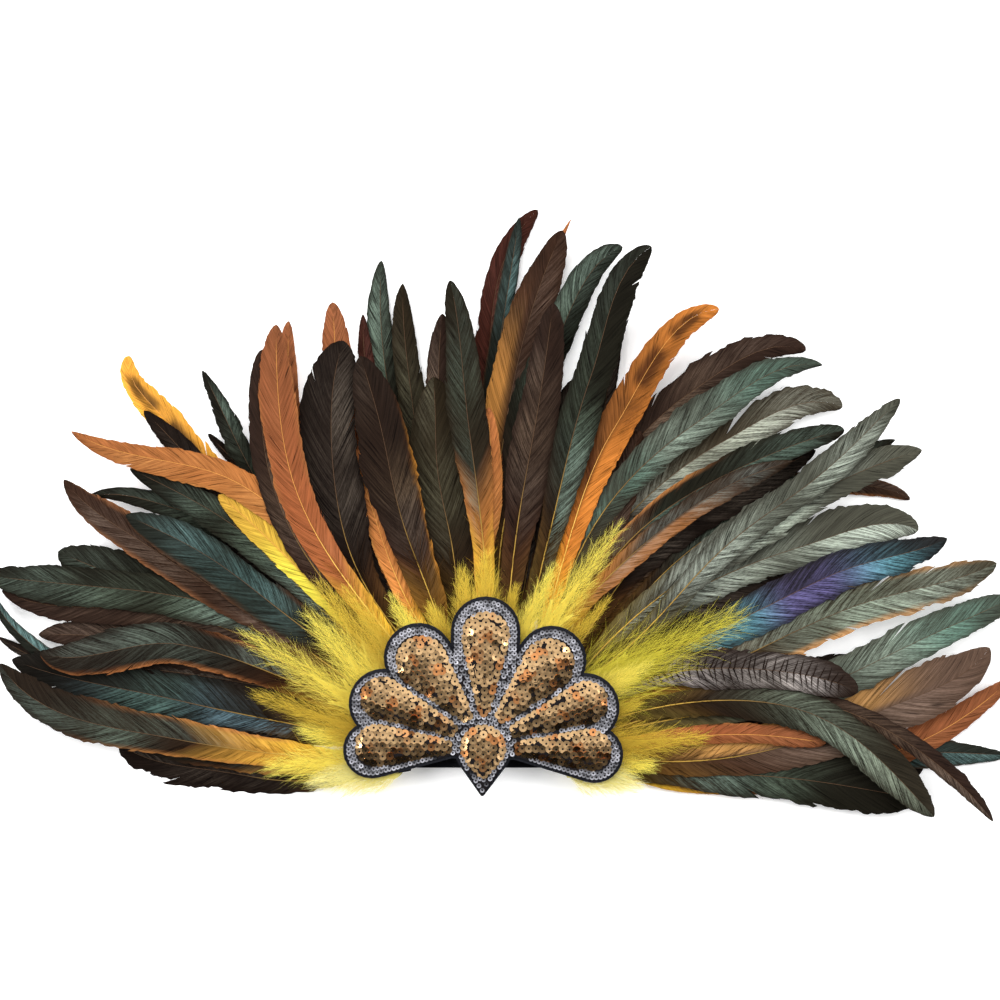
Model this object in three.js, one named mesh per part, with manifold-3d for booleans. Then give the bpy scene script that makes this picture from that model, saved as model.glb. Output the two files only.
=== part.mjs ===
// Carnival feather headdress, lying on its back: a wide fan of dyed rooster tail feathers bound in
// three rows on a felt back plate, a collar of yellow down over their quills, and a scalloped felt
// patch on top with a silver sequin border and eight padded fields of gold sequins.
// Millimetres. X runs to the viewer's right, Y up the fan, Z out of the face.
// The origin is on the flat back of the plate, which lies on the table.
import * as THREE from "three";
import { mergeVertices } from "three/addons/utils/BufferGeometryUtils.js";
import Module from "manifold-3d";

const wasm = await Module();
wasm.setup();

const GAP = 0.3; // air between neighbouring pieces

// The plate is an upright half oval with a straight lower edge.
const PLATE = { halfWidth: 60, rise: 66, centreY: -26, lowerY: -35, thick: 2.2 };

// The quills are bound on an oval hidden under the patch, in arc-shaped strips.
const BINDING = { halfWidth: 52, rise: 58, centreY: -26, strip: 8 };
const SECTORS = {
  left: { from: 132.5, to: 190 },
  crown: { from: 61.5, to: 131.5 },
  right: { from: -10, to: 60.5 },
};
const ROWS = ["back", "middle", "front"];
const LAYERS_PER_ROW = 4;
const LAYER_PITCH = 1.15;
const ROW_PITCH = LAYERS_PER_ROW * LAYER_PITCH;
const FIRST_ROW_Z = PLATE.thick + GAP;
const LAYER_SEAT = 0.5; // lowest quill's height inside its strip

// The fan sinks from the binding to the table, and its upper layers spring up towards their tips.
const SINK = { drop: 2.5, near: 8, far: 110 };
const TIP_LIFT = 16;
const FAN_REACH = 290;

const BLADE = { ridge: 0.38, quill: 1.3 };
const BLADE_STATIONS = [0, 0.14, 0.3, 0.48, 0.66, 0.81, 0.93, 1];
const TIP_WIDTH = 0.12; // of the full width, at the very tip

const LOCK = { ridge: 1.4, lift: 1.6, subPitch: 1, head: 3.8 };
const LOCK_STATIONS = [0, 0.2, 0.45, 0.7, 0.9, 1];

const PATCH = { thick: 2, rim: 2.2, turn: -1.2, border: 1.4, pad: 2.8, arcSides: 20 };

// Feathers: seat is the angle on the binding oval, via and tip are points on the shaft, hook turns
// the tip (degrees, anticlockwise), width is the vane's, layer counts up from the table.
const FEATHER_COLUMNS = ["seat", "viaX", "viaY", "tipX", "tipY", "hook", "width", "layer"];
const FEATHERS = [
  [184, -152, -41, -238, -20, -10, 20, 0],
  [180, -250, -8, -313, 36, -25, 24, 8],
  [176, -198, 11, -307, 36, -10, 31, 4],
  [170, -198, 44, -287, 41, -33, 27, 9],
  [172, -185, 66, -313, 81, -35, 26, 5],
  [174, -276, 31, -320, 81, -20, 10, 6],
  [178, -237, 16, -318, 51, -10, 12, 1],
  [168, -185, 75, -322, 91, -15, 27, 6],
  [164, -198, 73, -277, 106, 0, 34, 4],
  [160, -214, 109, -272, 153, -15, 25, 7],
  [158, -165, 93, -232, 130, 0, 27, 8],
  [154, -198, 133, -257, 142, 15, 16, 6],
  [150, -172, 127, -229, 160, 0, 21, 9],
  [147, -168, 158, -266, 184, -24, 19, 4],
  [144, -215, 184, -232, 234, -12, 18, 0],
  [146, -159, 133, -222, 198, 0, 17, 1],
  [138, -149, 159, -183, 224, 0, 15, 5],
  [142, -152, 154, -180, 183, 0, 9, 2],
  [134, -143, 185, -143, 237, 0, 18, 7],
  [148, -133, 111, -175, 146, 0, 20, 10],
  [152, -126, 75, -175, 101, 0, 26, 2],
  [168, -146, 33, -217, 49, 0, 30, 2],
  [178, -172, -7, -256, 0, 0, 24, 2],
  [128, -122, 159, -134, 253, 0, 24, 9],
  [126, -121, 172, -127, 256, 0, 15, 5],
  [122, -101, 179, -91, 243, 0, 37, 8],
  [118, -90, 185, -99, 269, 0, 15, 0],
  [106, -64, 211, -67, 296, 0, 16, 1],
  [112, -73, 192, -79, 261, 0, 13, 2],
  [102, -49, 205, -53, 281, 0, 18, 2],
  [112, -58, 153, -80, 233, 0, 33, 9],
  [98, -29, 185, -27, 261, 0, 20, 4],
  [102, -31, 140, -39, 219, 0, 38, 5],
  [88, -8, 185, -22, 282, 5, 23, 8],
  [92, -1, 200, 35, 329, -25, 21, 1],
  [88, 12, 244, 23, 324, 0, 13, 2],
  [84, 20, 224, 51, 315, 0, 30, 4],
  [76, 32, 185, 45, 267, 0, 27, 10],
  [74, 47, 240, 90, 304, -30, 20, 5],
  [64, 72, 221, 108, 303, -32, 23, 8],
  [68, 75, 192, 90, 255, 0, 11, 1],
  [117, -73, 133, -86, 176, 0, 16, 6],
  [94, 3, 127, 3, 200, 0, 15, 6],
  [71, 49, 153, 59, 218, 0, 26, 6],
  [54, 94, 224, 152, 263, -42, 22, 9],
  [50, 134, 210, 209, 237, 0, 25, 5],
  [46, 134, 189, 219, 227, 0, 23, 8],
  [43, 153, 179, 233, 200, 0, 29, 4],
  [40, 140, 148, 233, 185, 0, 20, 9],
  [32, 186, 130, 268, 205, 0, 20, 10],
  [34, 199, 146, 268, 179, 0, 16, 2],
  [30, 199, 137, 283, 172, 0, 26, 8],
  [28, 238, 151, 278, 140, -15, 14, 1],
  [26, 205, 112, 282, 120, 0, 29, 5],
  [22, 225, 88, 299, 115, 0, 27, 9],
  [16, 238, 67, 331, 99, 8, 30, 8],
  [10, 257, 36, 343, 77, 0, 27, 6],
  [4, 257, 0, 328, 44, 20, 38, 5],
  [-2, 290, -15, 343, 23, 0, 20, 2],
  [18, 166, 33, 242, 16, 0, 25, 10],
  [8, 199, 6, 291, -65, 10, 26, 9],
  [0, 153, -13, 222, -24, 0, 16, 7],
  [-6, 179, -40, 285, -55, 0, 34, 4],
  [2, 270, -13, 329, -68, 0, 13, 10],
  [-3, 270, -26, 343, -27, 0, 21, 1],
  [60, 83, 127, 101, 185, 0, 20, 6],
  [42, 108, 101, 150, 140, 0, 18, 6],
  [36, 108, 75, 166, 127, 0, 24, 0],
  [14, 179, 16, 270, 36, 0, 30, 0],
  [-4, 192, -26, 287, -36, 0, 30, 0],
];

// Locks of down: each runs from the binding oval to its tip.
const LOCK_COLUMNS = ["seat", "tipX", "tipY", "width", "sub"];
const LOCKS = [
  [168, -165, 49, 26, 0],
  [175, -159, 16, 24, 1],
  [152, -126, 94, 24, 0],
  [160, -136, 68, 26, 1],
  [184, -149, -33, 26, 0],
  [188, -120, -49, 20, 1],
  [144, -107, 104, 20, 1],
  [180, -126, -7, 22, 0],
  [124, -71, 91, 20, 0],
  [108, -42, 81, 18, 1],
  [98, -19, 111, 22, 0],
  [90, 1, 120, 24, 1],
  [82, 20, 111, 22, 0],
  [75, 40, 113, 20, 1],
  [67, 68, 134, 16, 0],
  [52, 106, 98, 20, 1],
  [34, 186, 75, 36, 0],
  [26, 134, 49, 26, 1],
  [16, 118, 16, 22, 0],
  [6, 153, -13, 26, 1],
  [-2, 134, -33, 24, 0],
  [-7, 108, -52, 20, 1],
];

// Patch lobes: each is a disc joined to a smaller neck disc near the middle.
const LOBE_COLUMNS = ["x", "y", "r", "neckX", "neckY", "neckR"];
const LOBES = [
  [0, 55, 22.5, 0, -5, 22],
  [43, 37, 22.5, 8, -8, 20],
  [65, 7, 22.5, 15, -12, 16],
  [72, -23, 18.5, 20, -18, 9],
];
// Gold petals: a large round end and a small one by the drop.
const PETALS = [
  [0, 52, 15, 0, 4, 3.2],
  [41, 34.5, 16, 12, 1, 4],
  [66, 10.5, 13.3, 21.5, -8.5, 4],
  [69, -20, 13, 25, -20, 4.5],
];
const PETAL_NAMES = ["centre", "upper", "middle", "lower"];
const DROP = { y: -19.5, r: 19.5, pointY: -50, pointR: 1.5 };
const GOLD_DROP = { y: -20, r: 14, pointY: -38, pointR: 1.2 };

const row = (columns, values) => Object.fromEntries(columns.map((c, i) => [c, values[i]]));
const rad = THREE.MathUtils.degToRad;
const smooth = (x, a, b) => THREE.MathUtils.smoothstep(x, a, b);

// A closed solid from a geometry of planar faces.
function solid(geometry) {
  const bare = geometry.index ? geometry.toNonIndexed() : geometry.clone();
  bare.deleteAttribute("normal");
  bare.deleteAttribute("uv");
  const merged = mergeVertices(bare, 1e-4);
  const mesh = new wasm.Mesh({
    numProp: 3,
    vertProperties: merged.attributes.position.array,
    triVerts: new Uint32Array(merged.index.array),
  });
  return new wasm.Manifold(mesh);
}

// A named mesh of a solid.
function piece(name, body, material) {
  const mesh = body.getMesh();
  const position = new Float32Array(mesh.numVert * 3);
  for (let i = 0; i < mesh.numVert; i++) {
    const at = i * mesh.numProp;
    position.set(mesh.vertProperties.subarray(at, at + 3), i * 3);
  }
  const geometry = new THREE.BufferGeometry();
  geometry.setAttribute("position", new THREE.BufferAttribute(position, 3));
  geometry.setIndex(new THREE.BufferAttribute(mesh.triVerts, 1));
  const faceted = geometry.toNonIndexed();
  faceted.computeVertexNormals();
  const made = new THREE.Mesh(faceted, material);
  made.name = name;
  return made;
}

// A closed solid through rings of points, each ring anticlockwise as seen from its far side.
function loft(rings) {
  const n = rings[0].length;
  const position = rings.flat().flatMap((p) => [p.x, p.y, p.z]);
  const index = [];
  for (let i = 0; i + 1 < rings.length; i++) {
    for (let j = 0; j < n; j++) {
      const a = i * n + j;
      const b = i * n + ((j + 1) % n);
      index.push(a, b, b + n, a, b + n, a + n);
    }
  }
  const last = (rings.length - 1) * n;
  for (let j = 1; j + 1 < n; j++) {
    index.push(0, j + 1, j);
    index.push(last, last + j, last + j + 1);
  }
  const geometry = new THREE.BufferGeometry();
  geometry.setAttribute("position", new THREE.Float32BufferAttribute(position, 3));
  geometry.setIndex(index);
  return solid(geometry);
}

// A flat plate of a plan outline between two heights.
function slab(points, low, high) {
  const shape = new THREE.Shape(points.map((p) => new THREE.Vector2(p.x, p.y)));
  const geometry = new THREE.ExtrudeGeometry(shape, { depth: high - low, bevelEnabled: false });
  geometry.translate(0, 0, low);
  return solid(geometry);
}

const joined = (bodies) => bodies.reduce((sum, body) => sum.add(body));

// A point on the binding oval, grown outwards by a margin.
function onBinding(angle, margin) {
  const x = (BINDING.halfWidth + margin) * Math.cos(rad(angle));
  const y = BINDING.centreY + (BINDING.rise + margin) * Math.sin(rad(angle));
  return new THREE.Vector2(x, y);
}

// How far a plan point lies outside the binding oval.
function beyondBinding(x, y) {
  const ratio = Math.hypot(x / BINDING.halfWidth, (y - BINDING.centreY) / BINDING.rise);
  return (ratio - 1) * (BINDING.halfWidth + BINDING.rise) * 0.5;
}

// Height of a layer's middle surface over a plan point.
function layerHeight(layer, x, y) {
  const out = Math.max(0, beyondBinding(x, y));
  const spring = TIP_LIFT * (layer / (ROWS.length * LAYERS_PER_ROW)) * (out / FAN_REACH) ** 2;
  const seat = FIRST_ROW_Z + LAYER_SEAT + layer * LAYER_PITCH;
  return seat - SINK.drop * smooth(out, SINK.near, SINK.far) + spring;
}

// The shaft in plan: a smooth curve from the binding through a point on it to its tip.
function shaft(seat, via, tip, hook) {
  const root = onBinding(seat, -2);
  const first = via.clone().sub(root);
  const second = tip.clone().sub(via);
  const d1 = first.length();
  const d2 = second.length();
  const a = first.clone().normalize();
  const b = second.clone().normalize();
  const mid = a.clone().multiplyScalar(d2).addScaledVector(b, d1).normalize();
  const start = a.clone().multiplyScalar(2).sub(mid).normalize();
  const end = b.clone().multiplyScalar(2).sub(mid).normalize().rotateAround(new THREE.Vector2(), rad(hook));
  const hermite = (p, q, m, n, s) => {
    const c = s * s * (3 - 2 * s);
    const out = p.clone().multiplyScalar(1 - c).addScaledVector(q, c);
    return out.addScaledVector(m, s * (1 - s) ** 2).addScaledVector(n, s * s * (s - 1));
  };
  const split = d1 / (d1 + d2);
  const at = (t) => {
    if (t < split) {
      return hermite(root, via, start.clone().multiplyScalar(d1), mid.clone().multiplyScalar(d1), t / split);
    }
    const s = (t - split) / (1 - split);
    return hermite(via, tip, mid.clone().multiplyScalar(d2), end.clone().multiplyScalar(d2), s);
  };
  return (t) => {
    const along = at(Math.min(1, t + 0.01)).sub(at(Math.max(0, t - 0.01))).normalize();
    return { at: at(t), across: new THREE.Vector2(-along.y, along.x) };
  };
}

// Share of the full vane width at a place on the shaft: a bare quill, a long swell, a round tip.
function vane(t) {
  const swell = 0.58 * smooth(t, 0.07, 0.26) + 0.42 * smooth(t, 0.22, 0.6);
  const tip = Math.sqrt(Math.max(0, 1 - Math.max(0, (t - 0.72) / 0.28) ** 2.4));
  return swell * Math.max(TIP_WIDTH, tip);
}

// A blade of lens section whose edges and ridge lie on the surface of its layer.
function blade(path, stations, halfWidthAt, ridgeAt, heightAt) {
  const rings = stations.map((t) => {
    const { at, across } = path(t);
    const edge = (side) => at.clone().addScaledVector(across, side * halfWidthAt(t));
    const left = edge(1);
    const right = edge(-1);
    const z = heightAt(at.x, at.y);
    return [
      new THREE.Vector3(left.x, left.y, heightAt(left.x, left.y)),
      new THREE.Vector3(at.x, at.y, z + ridgeAt(t)),
      new THREE.Vector3(right.x, right.y, heightAt(right.x, right.y)),
      new THREE.Vector3(at.x, at.y, z - ridgeAt(t)),
    ];
  });
  return loft(rings);
}

function feather(f) {
  const path = shaft(f.seat, new THREE.Vector2(f.viaX, f.viaY), new THREE.Vector2(f.tipX, f.tipY), f.hook);
  const halfWidth = (t) => Math.max(t < 0.9 ? BLADE.quill : 0, (f.width / 2) * vane(t));
  const height = (x, y) => layerHeight(f.layer, x, y);
  return blade(path, BLADE_STATIONS, halfWidth, () => BLADE.ridge, height);
}

function lock(l) {
  const root = onBinding(l.seat, -2);
  const tip = new THREE.Vector2(l.tipX, l.tipY);
  const via = root.clone().lerp(tip, 0.5);
  const path = shaft(l.seat, via, tip, 0);
  const halfWidth = (t) => (l.width / 2) * Math.max(0.1, Math.sin(Math.PI * (0.12 + 0.85 * t)) ** 0.8);
  const ridge = (t) => LOCK.ridge * Math.max(0.25, Math.sin(Math.PI * (0.2 + 0.75 * t)));
  const top = ROWS.length * LAYERS_PER_ROW - 1;
  const height = (x, y) => layerHeight(top, x, y) + LOCK.lift + l.sub * LOCK.subPitch;
  return blade(path, LOCK_STATIONS, halfWidth, ridge, height);
}

// The strip that binds one bundle, as an arc on the oval.
function strip(sector, low, high) {
  const steps = 6;
  const pitch = (sector.to - sector.from) / steps;
  const angles = Array.from({ length: steps + 1 }, (_, i) => sector.from + pitch * i);
  const outer = angles.map((angle) => onBinding(angle, BINDING.strip / 2));
  const inner = angles.map((angle) => onBinding(angle, -BINDING.strip / 2)).reverse();
  return slab([...outer, ...inner], low, high);
}

// Outline of two discs and the straight sides that join them, drawn in by an inset.
function twinOutline(big, small, inset) {
  const R = big.r - inset;
  const r = Math.max(0.4, small.r - inset);
  const dx = small.x - big.x;
  const dy = small.y - big.y;
  const heading = Math.atan2(dy, dx);
  const lean = Math.acos((R - r) / Math.hypot(dx, dy));
  const sidesBig = Math.round(PATCH.arcSides * 0.7);
  const sidesSmall = Math.round(PATCH.arcSides * 0.3);
  const arc = (c, radius, from, to, sides) => Array.from({ length: sides + 1 }, (_, i) => {
    const angle = from + ((to - from) * i) / sides;
    return new THREE.Vector2(c.x + radius * Math.cos(angle), c.y + radius * Math.sin(angle));
  });
  const round = arc(big, R, heading + lean, heading + 2 * Math.PI - lean, sidesBig);
  const end = arc(small, r, heading - lean, heading + lean, sidesSmall);
  const turn = rad(PATCH.turn);
  return [...round, ...end].map((p) => p.rotateAround(new THREE.Vector2(), turn));
}

const twins = (values, side) => {
  const l = row(LOBE_COLUMNS, values);
  return [
    { x: side * l.x, y: l.y, r: l.r },
    { x: side * l.neckX, y: l.neckY, r: l.neckR },
  ];
};
const dropTwins = (d) => [
  { x: 0, y: d.y, r: d.r },
  { x: 0, y: d.pointY, r: d.pointR },
];

// Every pair of discs of a table, mirrored except for the middle one.
function mirrored(table) {
  return table.flatMap((values, i) => {
    const sides = i === 0 ? [1] : [-1, 1];
    return sides.map((side) => ({ pair: twins(values, side), i, side }));
  });
}

// A padded field: rings drawn in as they rise, closed by a flat top.
function pad(pair, low, high) {
  const steps = [
    { inset: 0, rise: 0 },
    { inset: 0.3, rise: 0.4 },
    { inset: 2.2, rise: 0.82 },
    { inset: 5, rise: 1 },
  ];
  const rings = steps.map((s) => twinOutline(pair[0], pair[1], s.inset)
    .map((p) => new THREE.Vector3(p.x, p.y, low + (high - low) * s.rise)));
  return loft(rings);
}

const cloth = (colour) => new THREE.MeshStandardMaterial({ color: colour, roughness: 0.9, metalness: 0 });
const sequin = (colour) => new THREE.MeshStandardMaterial({ color: colour, roughness: 0.3, metalness: 0.8 });
const plumage = (colour) => new THREE.MeshStandardMaterial({ color: colour, roughness: 0.6, metalness: 0 });
const ROW_COLOUR = { back: "#2e2a26", middle: "#3b3a2f", front: "#4a3226" };
const FELT = cloth("#17181c");
const DOWN = plumage("#e3d03f");
const SILVER = sequin("#b9b9c4");
const GOLD = sequin("#a97a45");

const headdress = new THREE.Group();
headdress.name = "feather_headdress";

// Back plate.
const plateOutline = [];
const plateStart = Math.asin((PLATE.lowerY - PLATE.centreY) / PLATE.rise);
for (let i = 0; i <= 30; i++) {
  const angle = plateStart + ((Math.PI - 2 * plateStart) * i) / 30;
  plateOutline.push(
    new THREE.Vector2(PLATE.halfWidth * Math.cos(angle), PLATE.centreY + PLATE.rise * Math.sin(angle)),
  );
}
headdress.add(piece("back_plate", slab(plateOutline, 0, PLATE.thick), FELT));

// Bundles of feathers, row by row and sector by sector.
const inSector = (seat, sector) => seat >= sector.from && seat <= sector.to;
const feathers = FEATHERS.map((values) => row(FEATHER_COLUMNS, values));
ROWS.forEach((rowName, r) => {
  const low = FIRST_ROW_Z + r * ROW_PITCH;
  for (const [sectorName, sector] of Object.entries(SECTORS)) {
    const inRow = (f) => Math.floor(f.layer / LAYERS_PER_ROW) === r;
    const bundle = feathers.filter((f) => inRow(f) && inSector(f.seat, sector));
    const body = joined([strip(sector, low, low + ROW_PITCH - GAP), ...bundle.map(feather)]);
    headdress.add(piece(`${sectorName}_${rowName}_feathers`, body, plumage(ROW_COLOUR[rowName])));
  }
});

// Down collar.
const downLow = FIRST_ROW_Z + ROWS.length * ROW_PITCH;
const downHigh = downLow + LOCK.head;
const locks = LOCKS.map((values) => row(LOCK_COLUMNS, values));
for (const [sectorName, sector] of Object.entries(SECTORS)) {
  const tuft = locks.filter((l) => inSector(l.seat, sector));
  const body = joined([strip(sector, downLow, downHigh), ...tuft.map(lock)]);
  headdress.add(piece(`${sectorName}_down`, body, DOWN));
}

// Felt patch.
const patchLow = downHigh + GAP;
const patchHigh = patchLow + PATCH.thick;
const lobePairs = [...mirrored(LOBES).map((m) => m.pair), dropTwins(DROP)];
const petals = [
  ...mirrored(PETALS).map((m) => ({
    name: m.i === 0 ? "gold_centre" : `gold_${PETAL_NAMES[m.i]}_${m.side < 0 ? "left" : "right"}`,
    pair: m.pair,
  })),
  { name: "gold_drop", pair: dropTwins(GOLD_DROP) },
];
const base = joined(lobePairs.map((pair) => slab(twinOutline(pair[0], pair[1], 0), patchLow, patchHigh)));
headdress.add(piece("patch_base", base, FELT));

// Silver border: the patch drawn in by its rim, less the petals.
const fieldLow = patchHigh + GAP;
const field = joined(
  lobePairs.map((pair) => slab(twinOutline(pair[0], pair[1], PATCH.rim), fieldLow, fieldLow + PATCH.border)),
);
const windows = petals.map(({ pair }) => {
  const outline = twinOutline(pair[0], pair[1], -GAP);
  return slab(outline, fieldLow - 1, fieldLow + PATCH.border + 1);
});
headdress.add(piece("silver_border", windows.reduce((body, hole) => body.subtract(hole), field), SILVER));

for (const { name, pair } of petals) {
  headdress.add(piece(name, pad(pair, fieldLow, fieldLow + PATCH.pad), GOLD));
}

export default headdress;
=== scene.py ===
"""Carnival feather headdress laid on its back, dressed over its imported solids.

A feather is a shaft with tufts of barbs as thin plates, the down is made fibre by fibre and the patch
sequin by sequin. Tables and layout sizes are in millimetres; settings, the stage and meshes in metres.
"""

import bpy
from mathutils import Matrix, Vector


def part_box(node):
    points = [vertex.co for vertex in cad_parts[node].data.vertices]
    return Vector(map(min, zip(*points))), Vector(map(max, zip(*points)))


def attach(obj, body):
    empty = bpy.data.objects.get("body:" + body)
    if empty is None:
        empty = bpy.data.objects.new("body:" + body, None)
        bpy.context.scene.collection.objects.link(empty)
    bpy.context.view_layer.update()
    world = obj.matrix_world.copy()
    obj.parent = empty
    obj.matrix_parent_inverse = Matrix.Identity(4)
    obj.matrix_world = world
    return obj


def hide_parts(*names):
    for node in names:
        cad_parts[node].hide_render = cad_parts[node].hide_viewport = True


bl_info = {
    "name": "Feather Headdress",
    "version": (1, 0, 0),
    "blender": (4, 5, 0),
    "location": "View3D > Sidebar > Headdress",
    "description": "Barbed feathers, down and sequins of a carnival headdress",
    "category": "Add Mesh",
}

from collections import namedtuple

import bmesh
import bpy
import numpy as np
from bpy.props import FloatProperty, FloatVectorProperty, IntProperty, PointerProperty
from mathutils import Vector

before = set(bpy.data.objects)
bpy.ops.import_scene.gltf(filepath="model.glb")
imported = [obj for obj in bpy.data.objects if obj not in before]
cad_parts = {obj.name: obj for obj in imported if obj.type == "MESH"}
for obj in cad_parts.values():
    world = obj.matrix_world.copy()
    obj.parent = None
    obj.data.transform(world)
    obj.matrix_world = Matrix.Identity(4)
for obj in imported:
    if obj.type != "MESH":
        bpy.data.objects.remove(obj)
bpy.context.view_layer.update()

MM = 0.001
ANY_PHASE = (0, 6.28)

# The oval on which the quills are bound, and the strips that bind them.
BINDING_HALF_WIDTH = 52.0
BINDING_RISE = 58.0
BINDING_CENTRE_Y = -26.0
BINDING_STRIP = 8.0
BINDING_STEPS = 25
BINDING_BELOW = 0.5
BINDING_GAP = 0.3
DOWN_STRIP_HEIGHT = 3.8
QUILL_DEPTH = 2.0
SECTORS = {"left": (132.5, 190.0), "crown": (61.5, 131.5), "right": (-10.0, 60.5)}
ROWS = ("back", "middle", "front")

# Heights of the layers of feathers, which sink past the binding and lift towards their tips.
LAYERS_PER_ROW = 4
LAYER_PITCH = 1.15
FIRST_LAYER_Z = 3.0
SINK_DROP = 2.5
SINK_NEAR = 8.0
SINK_FAR = 110.0
TIP_LIFT = 16.0
FAN_REACH = 290.0

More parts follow.
